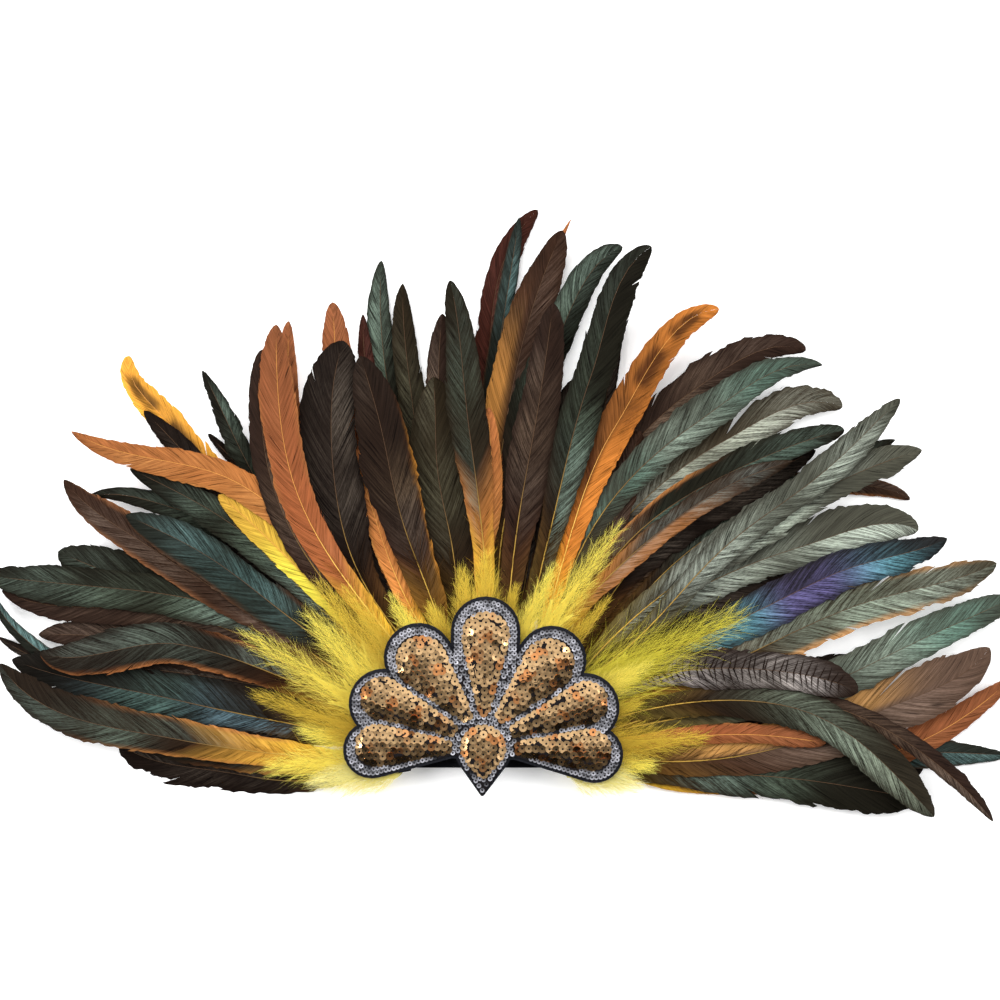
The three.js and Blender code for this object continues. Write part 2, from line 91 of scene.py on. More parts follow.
# A feather's seat on the binding and the bend of its tip are in degrees.
Feather = namedtuple("Feather", "seat via_x via_y tip_x tip_y hook width layer dye ragged")
FEATHERS = [Feather(*row) for row in (
    (184, -152, -41, -238, -20, -10, 20, 0, "black", 0.9),
    (180, -200, -17, -313, 34, -25, 27, 8, "long_orange", 0.3),
    (176, -198, 11, -307, 36, -10, 31, 4, "peacock", 0.8),
    (170, -198, 44, -287, 41, -33, 27, 9, "black_edge", 0.2),
    (172, -185, 66, -313, 81, -35, 26, 5, "plum", 0.3),
    (174, -276, 31, -320, 81, -20, 10, 3, "teal", 0.2),
    (178, -237, 16, -318, 51, -10, 12, 1, "black", 0.6),
    (168, -185, 75, -322, 91, -15, 27, 6, "green", 0.2),
    (164, -198, 73, -277, 106, 0, 34, 4, "green", 0.5),
    (160, -214, 109, -272, 153, -15, 25, 7, "brown_edge", 0.2),
    (158, -165, 93, -232, 130, 0, 27, 8, "teal", 0.2),
    (154, -198, 133, -257, 142, 15, 16, 6, "green", 0.2),
    (150, -172, 127, -229, 160, 0, 21, 9, "green", 0.2),
    (147, -160, 149, -266, 184, -24, 20, 10, "orange", 0.2),
    (144, -200, 184, -232, 234, -45, 20, 0, "amber", 0.4),
    (146, -159, 133, -222, 198, 0, 17, 1, "black", 0.3),
    (138, -149, 159, -183, 224, 0, 15, 5, "green", 0.7),
    (142, -152, 154, -180, 183, 0, 9, 2, "black", 0.3),
    (134, -143, 185, -143, 237, 0, 18, 10.4, "plum", 0.2),
    (148, -135, 112, -172, 143, 0, 19, 9.5, "yellow", 0.3),
    (152, -126, 75, -175, 101, 0, 26, 2, "plum", 0.3),
    (168, -146, 33, -217, 49, 0, 30, 2, "plum", 0.4),
    (178, -172, -7, -256, 0, 0, 24, 2, "black", 0.5),
    (128, -122, 159, -134, 253, 0, 24, 10.8, "rust", 0.2),
    (126, -121, 172, -127, 256, 0, 15, 5, "rust", 0.2),
    (122, -101, 179, -91, 243, 0, 37, 8, "black", 0.2),
    (118, -90, 185, -99, 269, 0, 20, 0, "rust", 0.2),
    (106, -64, 211, -67, 296, 0, 19, 1, "green", 0.2),
    (112, -73, 192, -79, 261, 0, 13, 2, "maroon", 0.2),
    (102, -49, 205, -53, 281, 0, 18, 2, "dark_olive", 0.2),
    (112, -58, 153, -80, 233, 0, 33, 9, "plum_edge", 0.2),
    (98, -29, 185, -27, 261, 0, 20, 4, "plum", 0.2),
    (102, -27, 145, -33, 220, 0, 36, 5, "dark_olive", 0.2),
    (88, -8, 185, -22, 282, 5, 23, 8, "ember", 0.2),
    (92, -1, 200, 35, 329, -25, 21, 1, "maroon", 0.2),
    (88, 12, 244, 23, 324, 0, 13, 2, "teal", 0.2),
    (84, 20, 224, 51, 315, 0, 30, 4, "orange_vane", 0.2),
    (84, 38, 270, 57, 323, -10, 8, 3, "orange", 0.6),
    (76, 32, 185, 45, 267, 0, 27, 10, "plum", 0.2),
    (74, 47, 240, 90, 304, -30, 23, 5, "green", 0.2),
    (64, 72, 221, 108, 303, -32, 25, 11, "green", 0.2),
    (68, 75, 192, 90, 255, 0, 11, 1, "black", 0.2),
    (117, -73, 133, -86, 176, 0, 16, 6, "orange", 0.3),
    (94, 3, 127, 3, 200, 0, 15, 6, "orange", 0.3),
    (71, 49, 153, 59, 218, 0, 26, 6, "black", 0.3),
    (50, 88, 186, 152, 263, -42, 22, 9, "orange_dark", 0.3),
    (50, 134, 210, 209, 237, -32, 25, 5, "plum", 0.5),
    (46, 134, 189, 219, 227, -24, 23, 8, "jade", 0.4),
    (43, 153, 179, 233, 200, -30, 29, 4, "olive", 0.7),
    (40, 140, 148, 233, 185, 0, 20, 9, "green_edge", 0.3),
    (32, 186, 130, 268, 205, 0, 20, 10, "silver_green", 0.4),
    (34, 199, 146, 268, 179, 0, 16, 2, "green", 0.4),
    (30, 199, 137, 283, 172, 0, 26, 8, "silver_green", 0.4),
    (28, 238, 151, 278, 140, -15, 14, 1, "brown_edge", 0.3),
    (26, 205, 112, 282, 120, -26, 29, 5, "silver_green", 0.4),
    (22, 225, 91, 299, 115, 14, 27, 9, "blue", 0.4),
    (16, 238, 67, 331, 99, 8, 30, 8, "olive_edge", 0.4),
    (10, 257, 36, 343, 77, 0, 27, 6, "jade", 0.3),
    (4, 257, 0, 328, 44, 20, 38, 5, "copper_vane", 0.2),
    (-2, 290, -15, 343, 23, 0, 20, 2, "rust", 0.2),
    (18, 166, 33, 242, 16, 0, 25, 10, "barred", 0.3),
    (8, 199, 6, 291, -65, 10, 26, 9, "moss", 0.3),
    (0, 153, -13, 222, -18, 0, 13, 7, "rust", 0.6),
    (-6, 179, -40, 285, -55, 0, 34, 4, "green", 0.3),
    (2, 270, -13, 329, -68, 0, 13, 8, "plum", 0.9),
    (-3, 270, -26, 343, -27, 0, 21, 1, "teal", 0.2),
    (60, 83, 127, 101, 185, 0, 20, 6, "brown_edge", 0.4),
    (56, 100, 112, 200, 165, 0, 16, 10, "orange_below", 0.4),
    (36, 108, 75, 166, 127, 0, 24, 0, "black", 0.4),
    (14, 179, 16, 270, 36, 0, 30, 0, "black", 0.4),
    (-4, 192, -22, 287, -36, 0, 38, 0, "black", 0.4),
    (24, 130, 62, 228, 104, 0, 30, 3, "black", 0.4),
    (38, 130, 122, 216, 172, 0, 26, 3, "black", 0.4),
    (171, -190, 40, -290, 52, 0, 22, 3, "plum", 0.3),
    (174, -150, 20, -232, 30, 0, 28, 3, "black", 0.4),
    (183, -160, -24, -245, -6, 0, 24, 3, "long_orange", 0.5),
    (120, -66, 100, -80, 160, 0, 22, 3, "black", 0.3),
    (104, -22, 72, -36, 140, 0, 24, 3, "black", 0.3),
    (77, 27, 90, 38, 160, 0, 22, 3, "black", 0.3),
    (1, 100, -14, 165, -16, 0, 24, 3, "black", 0.3),
    (155, -122, 86, -190, 124, 0, 20, 3, "black", 0.3),
)]

# Hex colours along a feather and at its edges, and the colours of the sheen painted in as a highlight,
# partly the feather's own iridescence, with how much of it shows.
Dye = namedtuple("Dye", "root mid outer tip edge edge_from edge_side sheen far_sheen shine")
DYES_AND_SHEENS = {name: Dye(*row) for name, row in {
    "black": ("4e3819", "181412", "110e0d", "161312", "", 1, 0, "5e544a", "5a5148", 0.5),
    "black_edge": ("8a6022", "231912", "12100d", "181411", "a8683a", 0.78, 0, "5c685e", "586058", 0.5),
    "plum": ("52391c", "241b17", "1d1816", "221c1a", "", 1, 0, "74604f", "6c5c50", 0.5),
    "plum_edge": ("7a5420", "1f1714", "191513", "1c1816", "c8842e", 0.84, -1, "64523f", "584c42", 0.45),
    "green": ("4a3a18", "1d1813", "131612", "151816", "", 1, 0, "5f6e5e", "66766a", 0.55),
    "green_edge": ("9a6824", "4c2d14", "141814", "181916", "b07440", 0.72, 0, "62776a", "607468", 0.55),
    "long_orange": ("deb038", "b08034", "1e1914", "1a1916", "a66c38", 0.76, 0, "5c6a5e", "5c6c64", 0.5),
    "dark_olive": ("4c3c1a", "1d1913", "1a1912", "201f18", "", 1, 0, "5a5846", "524f40", 0.5),
    "ember": ("deb038", "a86a34", "1c1a14", "191a15", "", 1, 0, "4c564a", "525e54", 0.5),
    "teal": ("4e3c1a", "1a1c18", "161d1b", "192020", "5a3a22", 0.85, 0, "465f5d", "6c8c8a", 0.55),
    "peacock": ("4e3c1a", "191713", "141817", "151717", "", 1, 0, "4c645e", "50666e", 0.66),
    "blue": ("4a4020", "1d1d1a", "181a20", "1a1e22", "", 1, 0, "605a86", "68a2ae", 0.75),
    "moss": ("5a4a22", "1e1a16", "1c1d18", "222420", "", 1, 0, "7a8676", "94a08c", 0.65),
    "olive": ("5c4a20", "2c2820", "2a281f", "323028", "", 1, 0, "a0a594", "a8ac9e", 0.8),
    "olive_edge": ("8a6224", "3a2c1c", "2a2920", "343228", "b88450", 0.7, 0, "9cab98", "a4b0a0", 0.72),
    "silver_green": ("5a4c22", "3c3a32", "3b3b33", "444339", "", 1, 0, "a6b0a0", "b0baac", 0.76),
    "jade": ("5a4c22", "34332c", "34362f", "3a3e36", "", 1, 0, "98a898", "88bca8", 0.8),
    "brown_edge": ("7a5424", "3b281a", "281e18", "2e231d", "a26840", 0.74, 0, "6f6054", "74655a", 0.45),
    "orange_vane": ("cd922e", "6a3c1c", "251b16", "281e18", "b67c3c", 0.12, 1, "5a4a40", "5a4a40", 0.35),
    "orange_below": ("dcb036", "a66c36", "2e271f", "26211c", "a66a38", 0.0, -1, "7e8c86", "8a9892", 0.4),
    "copper_vane": ("6a4a22", "3c2c22", "4c3a2e", "5a463a", "c08c4a", 0.0, 1, "7c6a5e", "806a5e", 0.4),
    "maroon": ("6a4220", "2d1913", "2d1713", "2c1b18", "", 1, 0, "70463e", "66423c", 0.45),
    "orange": ("dcb036", "b27036", "a06232", "925832", "b88244", 0.8, 0, "bc8850", "bc8850", 0.35),
    "orange_dark": ("e0a834", "a86226", "3c2414", "b06a2c", "b06a2c", 0.0, -1, "4a2c16", "3c2414", 0.6),
    "amber": ("e4c044", "d89a34", "d89a36", "cc8c36", "ecc452", 0.75, 0, "6a4624", "4a3420", 0.7),
    "rust": ("d4a634", "945430", "884c2c", "74462c", "946036", 0.8, 0, "a27048", "8e5e40", 0.35),
    "yellow": ("deb038", "d0a83a", "cca83a", "b88a36", "dccc48", 0.0, 1, "d8c04e", "d0b048", 0.3),
    "barred": ("5a4a22", "201a17", "1a1615", "1e1a18", "", 1, 0, "aaa29c", "a49c98", 0.85),
}.items()}
DYE_STOPS = (0.15, 0.34, 0.5, 1.0)
BARB_COLOUR_LAG = 0.08
GLOWING = ("orange", "orange_dark", "amber", "rust", "yellow")

# Colours of the shafts at their roots and tips, on glowing and on dark feathers.
GLOWING_HORN = ("f0cf62", "d89a50")
DARK_HORN = ("c09a44", "5a4432")

# How dark colours are warmed, how strong the painted sheen highlight is, where its colour changes along a
# vane, and where it fades towards the edge.
DARK_COLOURS = (0.012, 0.045)
WARM_DEPTH = (1.22, 0.88, 0.68)
PALE_DEPTH = 0.84
SHEEN_GAIN = 1.2
LOW_SHEEN = (0.48, 0.62)
HIGH_SHEEN = (0.7, 0.9)
DULL_EDGE = (0.6, 1.0)
EDGE_DULLING = 0.75

# Coloured rims: how softly they start, and one that runs along a whole vane.
RIM_SOFTNESS = 0.26
RIM_START = (0.2, 0.36)
WHOLE_RIM = (0.95, 0.48, 0.27)

# Dark blotches beside the shaft, made by a slow and a fast wave along it.
BLOTCHED = ("orange_dark", "amber")
BLOTCH = "2a1a10"
BLOTCH_DEPTH = 0.85
BLOTCH_PACE = 46
BLOTCH_SHIFT = 3
FINE_PACE = 110
FINE_SHARE = 0.6
BLOTCH_EDGES = (-1.0, 0.1)
BLOTCH_FROM = (0.62, 0.76)
BLOTCH_TO = (0.93, 0.99)
BLOTCH_OUT = (0.3, 0.66)

# How the feathers differ from one another, as ranges of their random draws.
SWAY_SIZE, SWAY_PACE = (0.005, 0.016), (4, 9)
BRIGHTNESS = (0.9, 1.26)
ROLL = (-0.03, 0.03)
TIP_BLUNT, TIP_TAPER = (1.9, 3.2), (0.45, 0.75)
SKEW = (-0.12, 0.12)
# Painted sheen highlights: glints along each vane, weaker on the vane taken as shaded.
GLINTS_PER_VANE = 4
GLINT_STRENGTH, GLINT_PLACE, GLINT_SPAN = (0.35, 1.4), (0.38, 0.92), (0.05, 0.15)
SHADED_VANE_SHEEN = 0.36
WAVE_SIZE, WAVE_PACE = (0.03, 0.1), (6, 15)
RIM_STRENGTH, RIM_PLACE, RIM_SPAN = (0.6, 1.0), (0.3, 0.8), (0.14, 0.34)
LEAST_RAGGED = 0.12

# A vane swells in two stretches from a bare quill, and narrows to its tip.
FIRST_SWELL, FIRST_STRETCH = 0.58, (0.07, 0.26)
LATER_SWELL, LATER_STRETCH = 0.42, (0.22, 0.6)
TIP_FROM = 0.72

# Barbs and the tufts in which they zip together; a spread has a part for neat and one for ragged feathers.
VANE_FROM = 0.1
BARBS_FROM = 0.04
FEWEST_BARBS = 14
TIP_CROWDING = 1.25
ROOT_SPACING = 0.3
ANGLE_CHANGE = (0.15, 1.0)
SMALLEST_TUFT, NEAT_TUFT, RAGGED_TUFT = 3, 12, 7
RAGGED_FROM = 0.5
TIP_TUFT = 8
BARB_STATIONS = (0, 0.22, 0.46, 0.7, 0.88, 1.0)
BARB_BOW = 1.15
LEAN_SPREAD = (0.03, 0.1)
TUFT_SPREAD = (0.015, 0.06)
BARB_SPREAD = (0.015, 0.04)
SPLIT_CHANCE = 0.15
SPLIT_LEAN = (0.1, 0.4)
SHORTEST_BARB = 0.15
NARROWEST_VANE = 1.0
EDGE_DROOP = 0.3
TUFT_OVERLAP = 0.14

# Shafts, and fibres of triangular section.
SHAFT_SIDES, SHAFT_STATIONS = 5, 26
SHAFT_END = 0.97
SHAFT_LIFT = 0.1
SHAFT_TAPER, SHAFT_THINNING = 0.72, (0.0, 0.8)
HORN_CHANGE = (0.2, 0.6)
FIBRE_CREST = 1.3
FIBRE_TAPER = 0.5
FIBRE_ROOT_RISE = 0.4
FIBRE_STREAKS = 1e3
STRAIGHT, CURLED = (0, 1), (0, 0.5, 1)
SHARP_BARB = np.radians(75)

# Loose barbs over the foot of a feather: angles and bends in degrees, as a mean and a spread.
FOOT_PLACE = (0.1, 0.38)
FOOT_ANGLE, FOOT_ANGLE_LIMITS = (28, 12), (4, 60)
FOOT_BEND = (12, 14)
FOOT_REACH = (0.4, 0.9)
FOOT_RISE, FOOT_RISE_FROM = (0, 0.9), (0.1, 0.2)
FOOT_WIDTH = 0.28

# Barb ends past the edges of a vane, longer on ragged feathers.
FRINGE_PLACE = (0.22, 0.97)
FRINGE_INSET = (0.86, 0.98)
FRINGE_ANGLE = (14, 34)
FRINGE_SHORTEST, FRINGE_LONGEST, FRINGE_RAGGED = 1.2, 2.6, 2.4
FRINGE_TIP, FRINGE_TIP_CUT = (0.8, 1), 0.6
FRINGE_WIDTH = 0.2

# Dark bars across a barred feather.
BAR_PITCH = 4.2
BAR_WIDTH = 0.9
BAR_PLACES = (0.3, 0.94)
BAR_SCATTER = 0.003
BAR_ANGLE = (78, 6)
BAR_REACH = (0.75, 0.95)
BAR_RISE = 0.4

# Locks of yellow down, and their dark and bright tints; the dark tint is partly the down's own colour,
# partly painted shade among the roots.
Lock = namedtuple("Lock", "seat tip_x tip_y width sub tint")
LOCKS = [Lock(*row) for row in (
    (168, -165, 60, 24, 0, "lemon"),
    (175, -159, 18, 19, 1, "golden"),
    (152, -115, 96, 22, 0, "amber"),
    (160, -122, 74, 24, 1, "lemon"),
    (184, -149, -33, 26, 0, "lemon"),
    (188, -118, -44, 20, 1, "pale"),
    (144, -94, 90, 17, 1, "amber"),
    (180, -126, -7, 22, 0, "lemon"),
    (124, -63, 82, 15, 0, "lemon"),
    (108, -37, 76, 15, 1, "amber"),
    (98, -15, 102, 18, 0, "amber"),
    (90, 2, 113, 20, 1, "amber"),
    (82, 22, 90, 13, 0, "golden"),
    (75, 50, 106, 14, 1, "lemon"),
    (67, 96, 135, 20, 0, "lemon"),
    (52, 86, 82, 12, 1, "golden"),
    (34, 178, 71, 36, 0, "lime"),
    (26, 114, 37, 18, 1, "lemon"),
    (16, 106, 10, 16, 0, "golden"),
    (6, 152, -14, 22, 1, "golden"),
    (-2, 116, -33, 19, 0, "lemon"),
    (-7, 106, -47, 20, 1, "pale"),
)]
TINTS = {
    "lemon": ("dab63a", "fff87a"),
    "amber": ("bc8a2e", "f0dc5a"),
    "lime": ("ac982a", "ece458"),
    "golden": ("ac802a", "e8d050"),
    "pale": ("e2d46c", "f8f2b0"),
}
LOCK_LIFT = 1.6
LOCK_SUB_PITCH = 1.0
# Share of the bright tint: darker at the roots and middle of a lock, paler to the tips and edges, partly as
# painted shade.
ROOT_PALENESS, TIP_PALENESS, EDGE_PALENESS = 0.15, 0.5, 0.4

# The soft cores of a lock: their turn in radians and their share of the lock's length.
CORES = ((0, 0.56), (-0.16, 0.42), (0.16, 0.42))
CORE_SINK = 1.9
CORE_WIDTH = 0.25
CORE_SWELL = (0.02, 0.3)
CORE_TAPER, CORE_NARROWING = 0.85, (0.35, 1.0)

# Fibres of a lock: where they leave it, how wide they spread, how they turn in degrees, and their length.
DOWN_FROM, DOWN_RUN, DOWN_CROWDING = 0.04, 0.88, (1.1, 1.7)
DOWN_SPREAD, DOWN_CLOSING, DOWN_OPENING = 0.6, 0.5, (0, 0.3)
DOWN_SCATTER, DOWN_WIDEST = 0.6, 1.3
DOWN_ANGLE, DOWN_FAN = 11, 42
DOWN_BEND, DOWN_STRAIGHTENING = 26, 0.5
DOWN_LENGTH, DOWN_SHORTENING, DOWN_REACH = 1.05, 0.7, (0.35, 1.15)
DOWN_RISE, DOWN_RISE_FROM = (0, 1.7), (0.02, 0.15)
FUZZ_LENGTH, FUZZ_WIDTH = 0.95, 0.5

# The patch: lobes and gold petals as pairs of discs joined by straight sides.
Twin = namedtuple("Twin", "x y r neck_x neck_y neck_r")
LOBES = [Twin(*row) for row in (
    (0, 55, 22.5, 0, -5, 22),
    (43, 37, 22.5, 8, -8, 20),
    (65, 7, 22.5, 15, -12, 16),
    (72, -23, 18.5, 20, -18, 9),
)]
PETALS = [Twin(*row) for row in (
    (0, 52, 15, 0, 4, 3.2),
    (41, 34.5, 16, 12, 1, 4),
    (66, 10.5, 13.3, 21.5, -8.5, 4),
    (69, -20, 13, 25, -20, 4.5),
)]
DROP = Twin(0, -19.5, 19.5, 0, -50, 1.5)
GOLD_DROP = Twin(0, -20, 14, 0, -38, 1.2)
WIDE_STEPS, NARROW_STEPS = 90, 30
SMALLEST_NECK = 0.3
PATCH_TURN = np.radians(-1.2)
PATCH_RIM = 2.2
PAD_INSETS = (0, 0.3, 2.2, 5)
PAD_RISES = (0, 0.4, 0.82, 1)
PAD_HEIGHT = 2.8
GOLD_NODES = ("gold_centre", "gold_drop") + tuple(
    f"gold_{place}_{side}" for place in ("upper", "middle", "lower") for side in ("left", "right"))

# Sequins: the radius of the hole, the thickness, the depth of the cup and the corners.
Sequin = namedtuple("Sequin", "hole thick cup sides")
GOLD_SEQUIN = Sequin(0.7, 0.12, 0.1, 10)
SILVER_SEQUIN = Sequin(0.62, 0.1, 0.08, 8)
SHARP_FOIL = np.radians(40)
LEAN_TAILS, MOST_LEAN = 3, 5

# Gold sequins: a row round each petal, then staggered rows along it.
GOLD_EDGE_INSET, GOLD_EDGE_PITCH = 1.4, 4.1
GOLD_STEP, GOLD_ROW_PITCH = 4.4, 3.4
GOLD_STEPS, GOLD_ROWS = range(-8, 26), range(-6, 7)
GOLD_SCATTER = 0.15
GOLD_INSET = 3.2
GOLD_SPACING = 2.9
GOLD_LIFT = (0.2, 0.5)
GOLD_TINT, GOLD_POLISH = (0.85, 1.1), (0.2, 0.32)
PETAL_SIDE_SLOPE, PETAL_END_SLOPE, PETAL_RUN_SLOPE = 0.26, 0.2, 0.05
PATCH_SLOPE = (0, 0.07)

# Coppery areas among the gold, where two waves over the patch agree.
COPPER = (1.0, 0.66, 0.48)
COPPER_WAVES = (0.23, 0.11), (-0.09, 0.27)
COPPER_PHASE = 1.7
COPPER_SCATTER, COPPER_EDGES = 0.2, (0.35, 0.8)

# Silver sequins: rows inside the rim, rows round the petals, and those down the drop.
SILVER_PITCH = 2.75
RIM_ROWS = (1.4, 4.1, 6.8)
PETAL_ROWS = (1.5, 4.3)
DROP_LINE = (-47.5, -34)
DROP_ROW = 0.8
SILVER_INSET, SILVER_CLEARANCE = 0.7, 0.9
SILVER_SPACING = 2.45
SILVER_SCATTER = 0.1
SILVER_HEIGHT, SILVER_LIFT = 0.2, (0, 0.25)
SILVER_TILT = 1.3
SILVER_TINT, SILVER_POLISH = (0.55, 1.05), (0.2, 0.35)

# Noises drawn out along the barbs, the painted sheen highlight and the relief they make, and the slits
# between barbs, painted dark as shade.
STREAKS = {
    "fine": (1.9, 0.6, 17.0),
    "broad": (0.34, 1.0, 17.0),
    "weave": (0.5, 13.0, 31.0),
    "slit": (1.0, 0.9, 43.0),
}
RIPPLE, RIPPLE_BASE = {"fine": 2.1, "broad": 1.4, "weave": 1.4}, 0.55
RELIEF = {"fine": 0.18, "broad": 0.26}
SLIT_EDGES, SLIT_SHADE_TONE = (0.1, 0.17), 0.2
DARKEST_TONE = 0.15
PLUMAGE_SPECULAR = 0.03

# Felt: places and shades of the dark and light of its nap, and how high it stands, in metres.
NAP_DARK, NAP_LIGHT = (0.3, 0.55), (0.75, 1.7)
NAP_HEIGHT = 0.0004

# The stage, in metres: lights by their offset from what they face, and the bands of the room's brightness.
Light = namedtuple("Light", "name offset size power mirrored")
LIGHTS = [Light(*row) for row in (
    ("key", (-0.4, 1.2, 1.7), 2.0, 41, False),
    ("left", (-1.7, -0.1, 1.1), 0.9, 28, True),
    ("right", (1.7, 0.3, 1.1), 0.9, 29, True),
)]
LIGHTS_BELOW_CENTRE = 0.05
TABLE_HALF = 6.0
FOCUS_Z = 0.01
ROOM_ENDS = ((0.0, 0.03), (1.0, 0.25))
ROOM_STEPS = ((0.34, 0.05), (0.5, 0.48), (0.7, 1.0), (0.86, 0.5))

# The kind of each value that a mesh holds for its points, and the field it is written to.
POINT_VALUES = {
    "dye": ("FLOAT_COLOR", "color"),
    # sheen and shine carry the painted sheen highlight and how much of it shows
    "sheen": ("FLOAT_COLOR", "color"),
    "shine": ("FLOAT", "value"),
    "streak": ("FLOAT_VECTOR", "vector"),
    "tint": ("FLOAT_COLOR", "color"),
    "polish": ("FLOAT", "value"),
}


class PlumageSettings(bpy.types.PropertyGroup):
    barb_pitch: FloatProperty(
        name="Barb Pitch", description="Spacing of the worked barbs along the shaft", default=0.003,
        unit="LENGTH")
    thickness: FloatProperty(
        name="Thickness", description="Thickness of a vane", default=0.00012, unit="LENGTH")
    root_angle: FloatProperty(
        name="Root Angle", description="Lean of the lowest barbs from the shaft", default=np.radians(40),
        subtype="ANGLE")
    tip_angle: FloatProperty(
        name="Tip Angle", description="Lean of the barbs by the tip", default=np.radians(24),
        subtype="ANGLE")
    shaft_radius: FloatProperty(
        name="Shaft Radius", description="Radius of the quill at the binding", default=0.0005,
        unit="LENGTH")
    wisps: IntProperty(name="Wisps", description="Loose barbs over the foot of a feather", default=60)
    fringe: IntProperty(name="Fringe", description="Barb ends past each edge of a vane", default=90)
    seed: IntProperty(name="Seed", description="Picks the splits and tints of the feathers", default=7)


class DownSettings(bpy.types.PropertyGroup):
    fibres: IntProperty(name="Fibres", description="Curling fibres in one lock of down", default=1050)
    fuzz: IntProperty(name="Fuzz", description="Thin straight fibres in one lock of down", default=1350)
    fibre_width: FloatProperty(
        name="Fibre Width", description="Width of a fibre at its root", default=0.00016, unit="LENGTH")
    seed: IntProperty(name="Seed", description="Picks the scatter of the fibres", default=11)


class SequinSettings(bpy.types.PropertyGroup):
    gold_diameter: FloatProperty(
        name="Gold Diameter", description="Width of a gold sequin", default=0.0053, unit="LENGTH")
    silver_diameter: FloatProperty(
        name="Silver Diameter", description="Width of a silver sequin", default=0.0032, unit="LENGTH")
    gold_colour: FloatVectorProperty(
        name="Gold Colour", description="Tint of the gold foil", default=(0.93, 0.6, 0.3),
        subtype="COLOR")
    silver_colour: FloatVectorProperty(
        name="Silver Colour", description="Tint of the silver foil", default=(0.84, 0.84, 0.92),
        subtype="COLOR")
    tilt: FloatProperty(
        name="Tilt", description="Spread of the sequins' lean", default=np.radians(2), subtype="ANGLE")
    seed: IntProperty(name="Seed", description="Picks the lean of each sequin", default=5)


class StageSettings(bpy.types.PropertyGroup):
    view_width: FloatProperty(
        name="View Width", description="Width of table in view", default=0.65, unit="LENGTH")
    centre_x: FloatProperty(
        name="Centre X", description="Middle of the view", default=0.0104, unit="LENGTH")
    centre_y: FloatProperty(
        name="Centre Y", description="Middle of the view", default=0.13975, unit="LENGTH")
    lens: FloatProperty(name="Lens", description="Focal length in millimetres", default=100.0)
    floor_colour: FloatVectorProperty(
        name="Floor Colour", description="Colour of the table", default=(0.93, 0.93, 0.93),
        subtype="COLOR")
    floor_glow: FloatProperty(
        name="Floor Glow", description="Light from below the table, as of a light box", default=0.3)


class HeaddressSettings(bpy.types.PropertyGroup):
    plumage: PointerProperty(type=PlumageSettings)
    down: PointerProperty(type=DownSettings)
    sequins: PointerProperty(type=SequinSettings)
    stage: PointerProperty(type=StageSettings)


def linear(code):
    """Linear colour of a hex code, by the sRGB curve."""
    value = np.array([int(code[i:i + 2], 16) for i in (0, 2, 4)]) / 255.0
    return np.where(value <= 0.04045, value / 12.92, ((value + 0.055) / 1.055) ** 2.4)


def smooth(x, low, high):
    """Share from 0 to 1 that rises softly between two values."""
    share = np.clip((np.asarray(x, float) - low) / (high - low), 0, 1)
    return share * share * (3 - 2 * share)


def mixed(first, second, share):
    """A colour part of the way to another."""
    return first * (1 - share[..., None]) + second * share[..., None]


def unit(vectors):
    return vectors / np.linalg.norm(vectors, axis=-1, keepdims=True)


def rotated(points, turn):
    """Plan points turned about the origin."""
    c, s = np.cos(turn), np.sin(turn)
    return points @ np.array(((c, s), (-s, c)))


def sideways(along):
    """Level direction to the left of a plan direction."""
    return np.stack((-along[..., 1], along[..., 0], np.zeros(along.shape[:-1])), -1)


def lengths(points):
    """Length along a line of points, from its start to each of them."""
    return np.concatenate(([0], np.cumsum(np.linalg.norm(np.diff(points, axis=0), axis=1))))


def read_off(at, places, rows):
    """Rows of values that are given at some places, read off between them."""
    return np.stack([np.interp(at, places, column) for column in np.transpose(rows)], -1)


def sector_of(seat):
    return next(name for name, (low, high) in SECTORS.items() if low <= seat <= high)


def on_binding(angle, margin):
    """Point on the binding oval, grown by a margin."""
    turn = np.radians(angle)
    return np.array((
        (BINDING_HALF_WIDTH + margin) * np.cos(turn),
        BINDING_CENTRE_Y + (BINDING_RISE + margin) * np.sin(turn)))


def layer_height(layer, x, y):
    """Height of a layer's middle surface over a plan point."""
    ratio = np.hypot(x / BINDING_HALF_WIDTH, (y - BINDING_CENTRE_Y) / BINDING_RISE)
    out = np.maximum(0, (ratio - 1) * (BINDING_HALF_WIDTH + BINDING_RISE) * 0.5)
    spring = TIP_LIFT * layer / (len(ROWS) * LAYERS_PER_ROW) * (out / FAN_REACH) ** 2
    return FIRST_LAYER_Z + layer * LAYER_PITCH - SINK_DROP * smooth(out, SINK_NEAR, SINK_FAR) + spring


class Shaft:
    """The middle line of a feather in plan, measured along its length."""

    def __init__(self, seat, via, tip, hook, sway=(0, 0, 0), samples=160):
        root = on_binding(seat, -QUILL_DEPTH)
        via, tip = np.array(via, float), np.array(tip, float)
        low, high = np.linalg.norm(via - root), np.linalg.norm(tip - via)
        low_way, high_way = (via - root) / low, (tip - via) / high
        middle = unit(low_way * high + high_way * low)
        start, end = unit(2 * low_way - middle), rotated(unit(2 * high_way - middle), np.radians(hook))
        self.t = np.linspace(0, 1, samples)
        split = low / (low + high)
        first = self.hermite(root, via, start * low, middle * low, np.clip(self.t / split, 0, 1))
        later = np.clip((self.t - split) / (1 - split), 0, 1)
        second = self.hermite(via, tip, middle * high, end * high, later)
        self.points = np.where((self.t < split)[:, None], first, second)
        size, pace, phase = sway
        drift = size * (low + high) * np.sin(np.pi * self.t) * np.sin(pace * self.t + phase)
        self.points += sideways(unit(tip - root))[:2] * drift[:, None]
        self.s = lengths(self.points)
        self.length = self.s[-1]
        self.along = unit(np.gradient(self.points, self.s, axis=0))

    @staticmethod
    def hermite(p, q, m, n, s):
        """Points of a curve between two points with given directions."""
        s = s[:, None]
        ease = s * s * (3 - 2 * s)
        return p * (1 - ease) + q * ease + m * (s * (1 - s) ** 2) + n * (s * s * (s - 1))

    def at(self, s):
        """Points, directions and places (0 to 1) at lengths along the shaft."""
        along = unit(read_off(s, self.s, self.along))
        return read_off(s, self.s, self.points), along, np.interp(s, self.s, self.t)


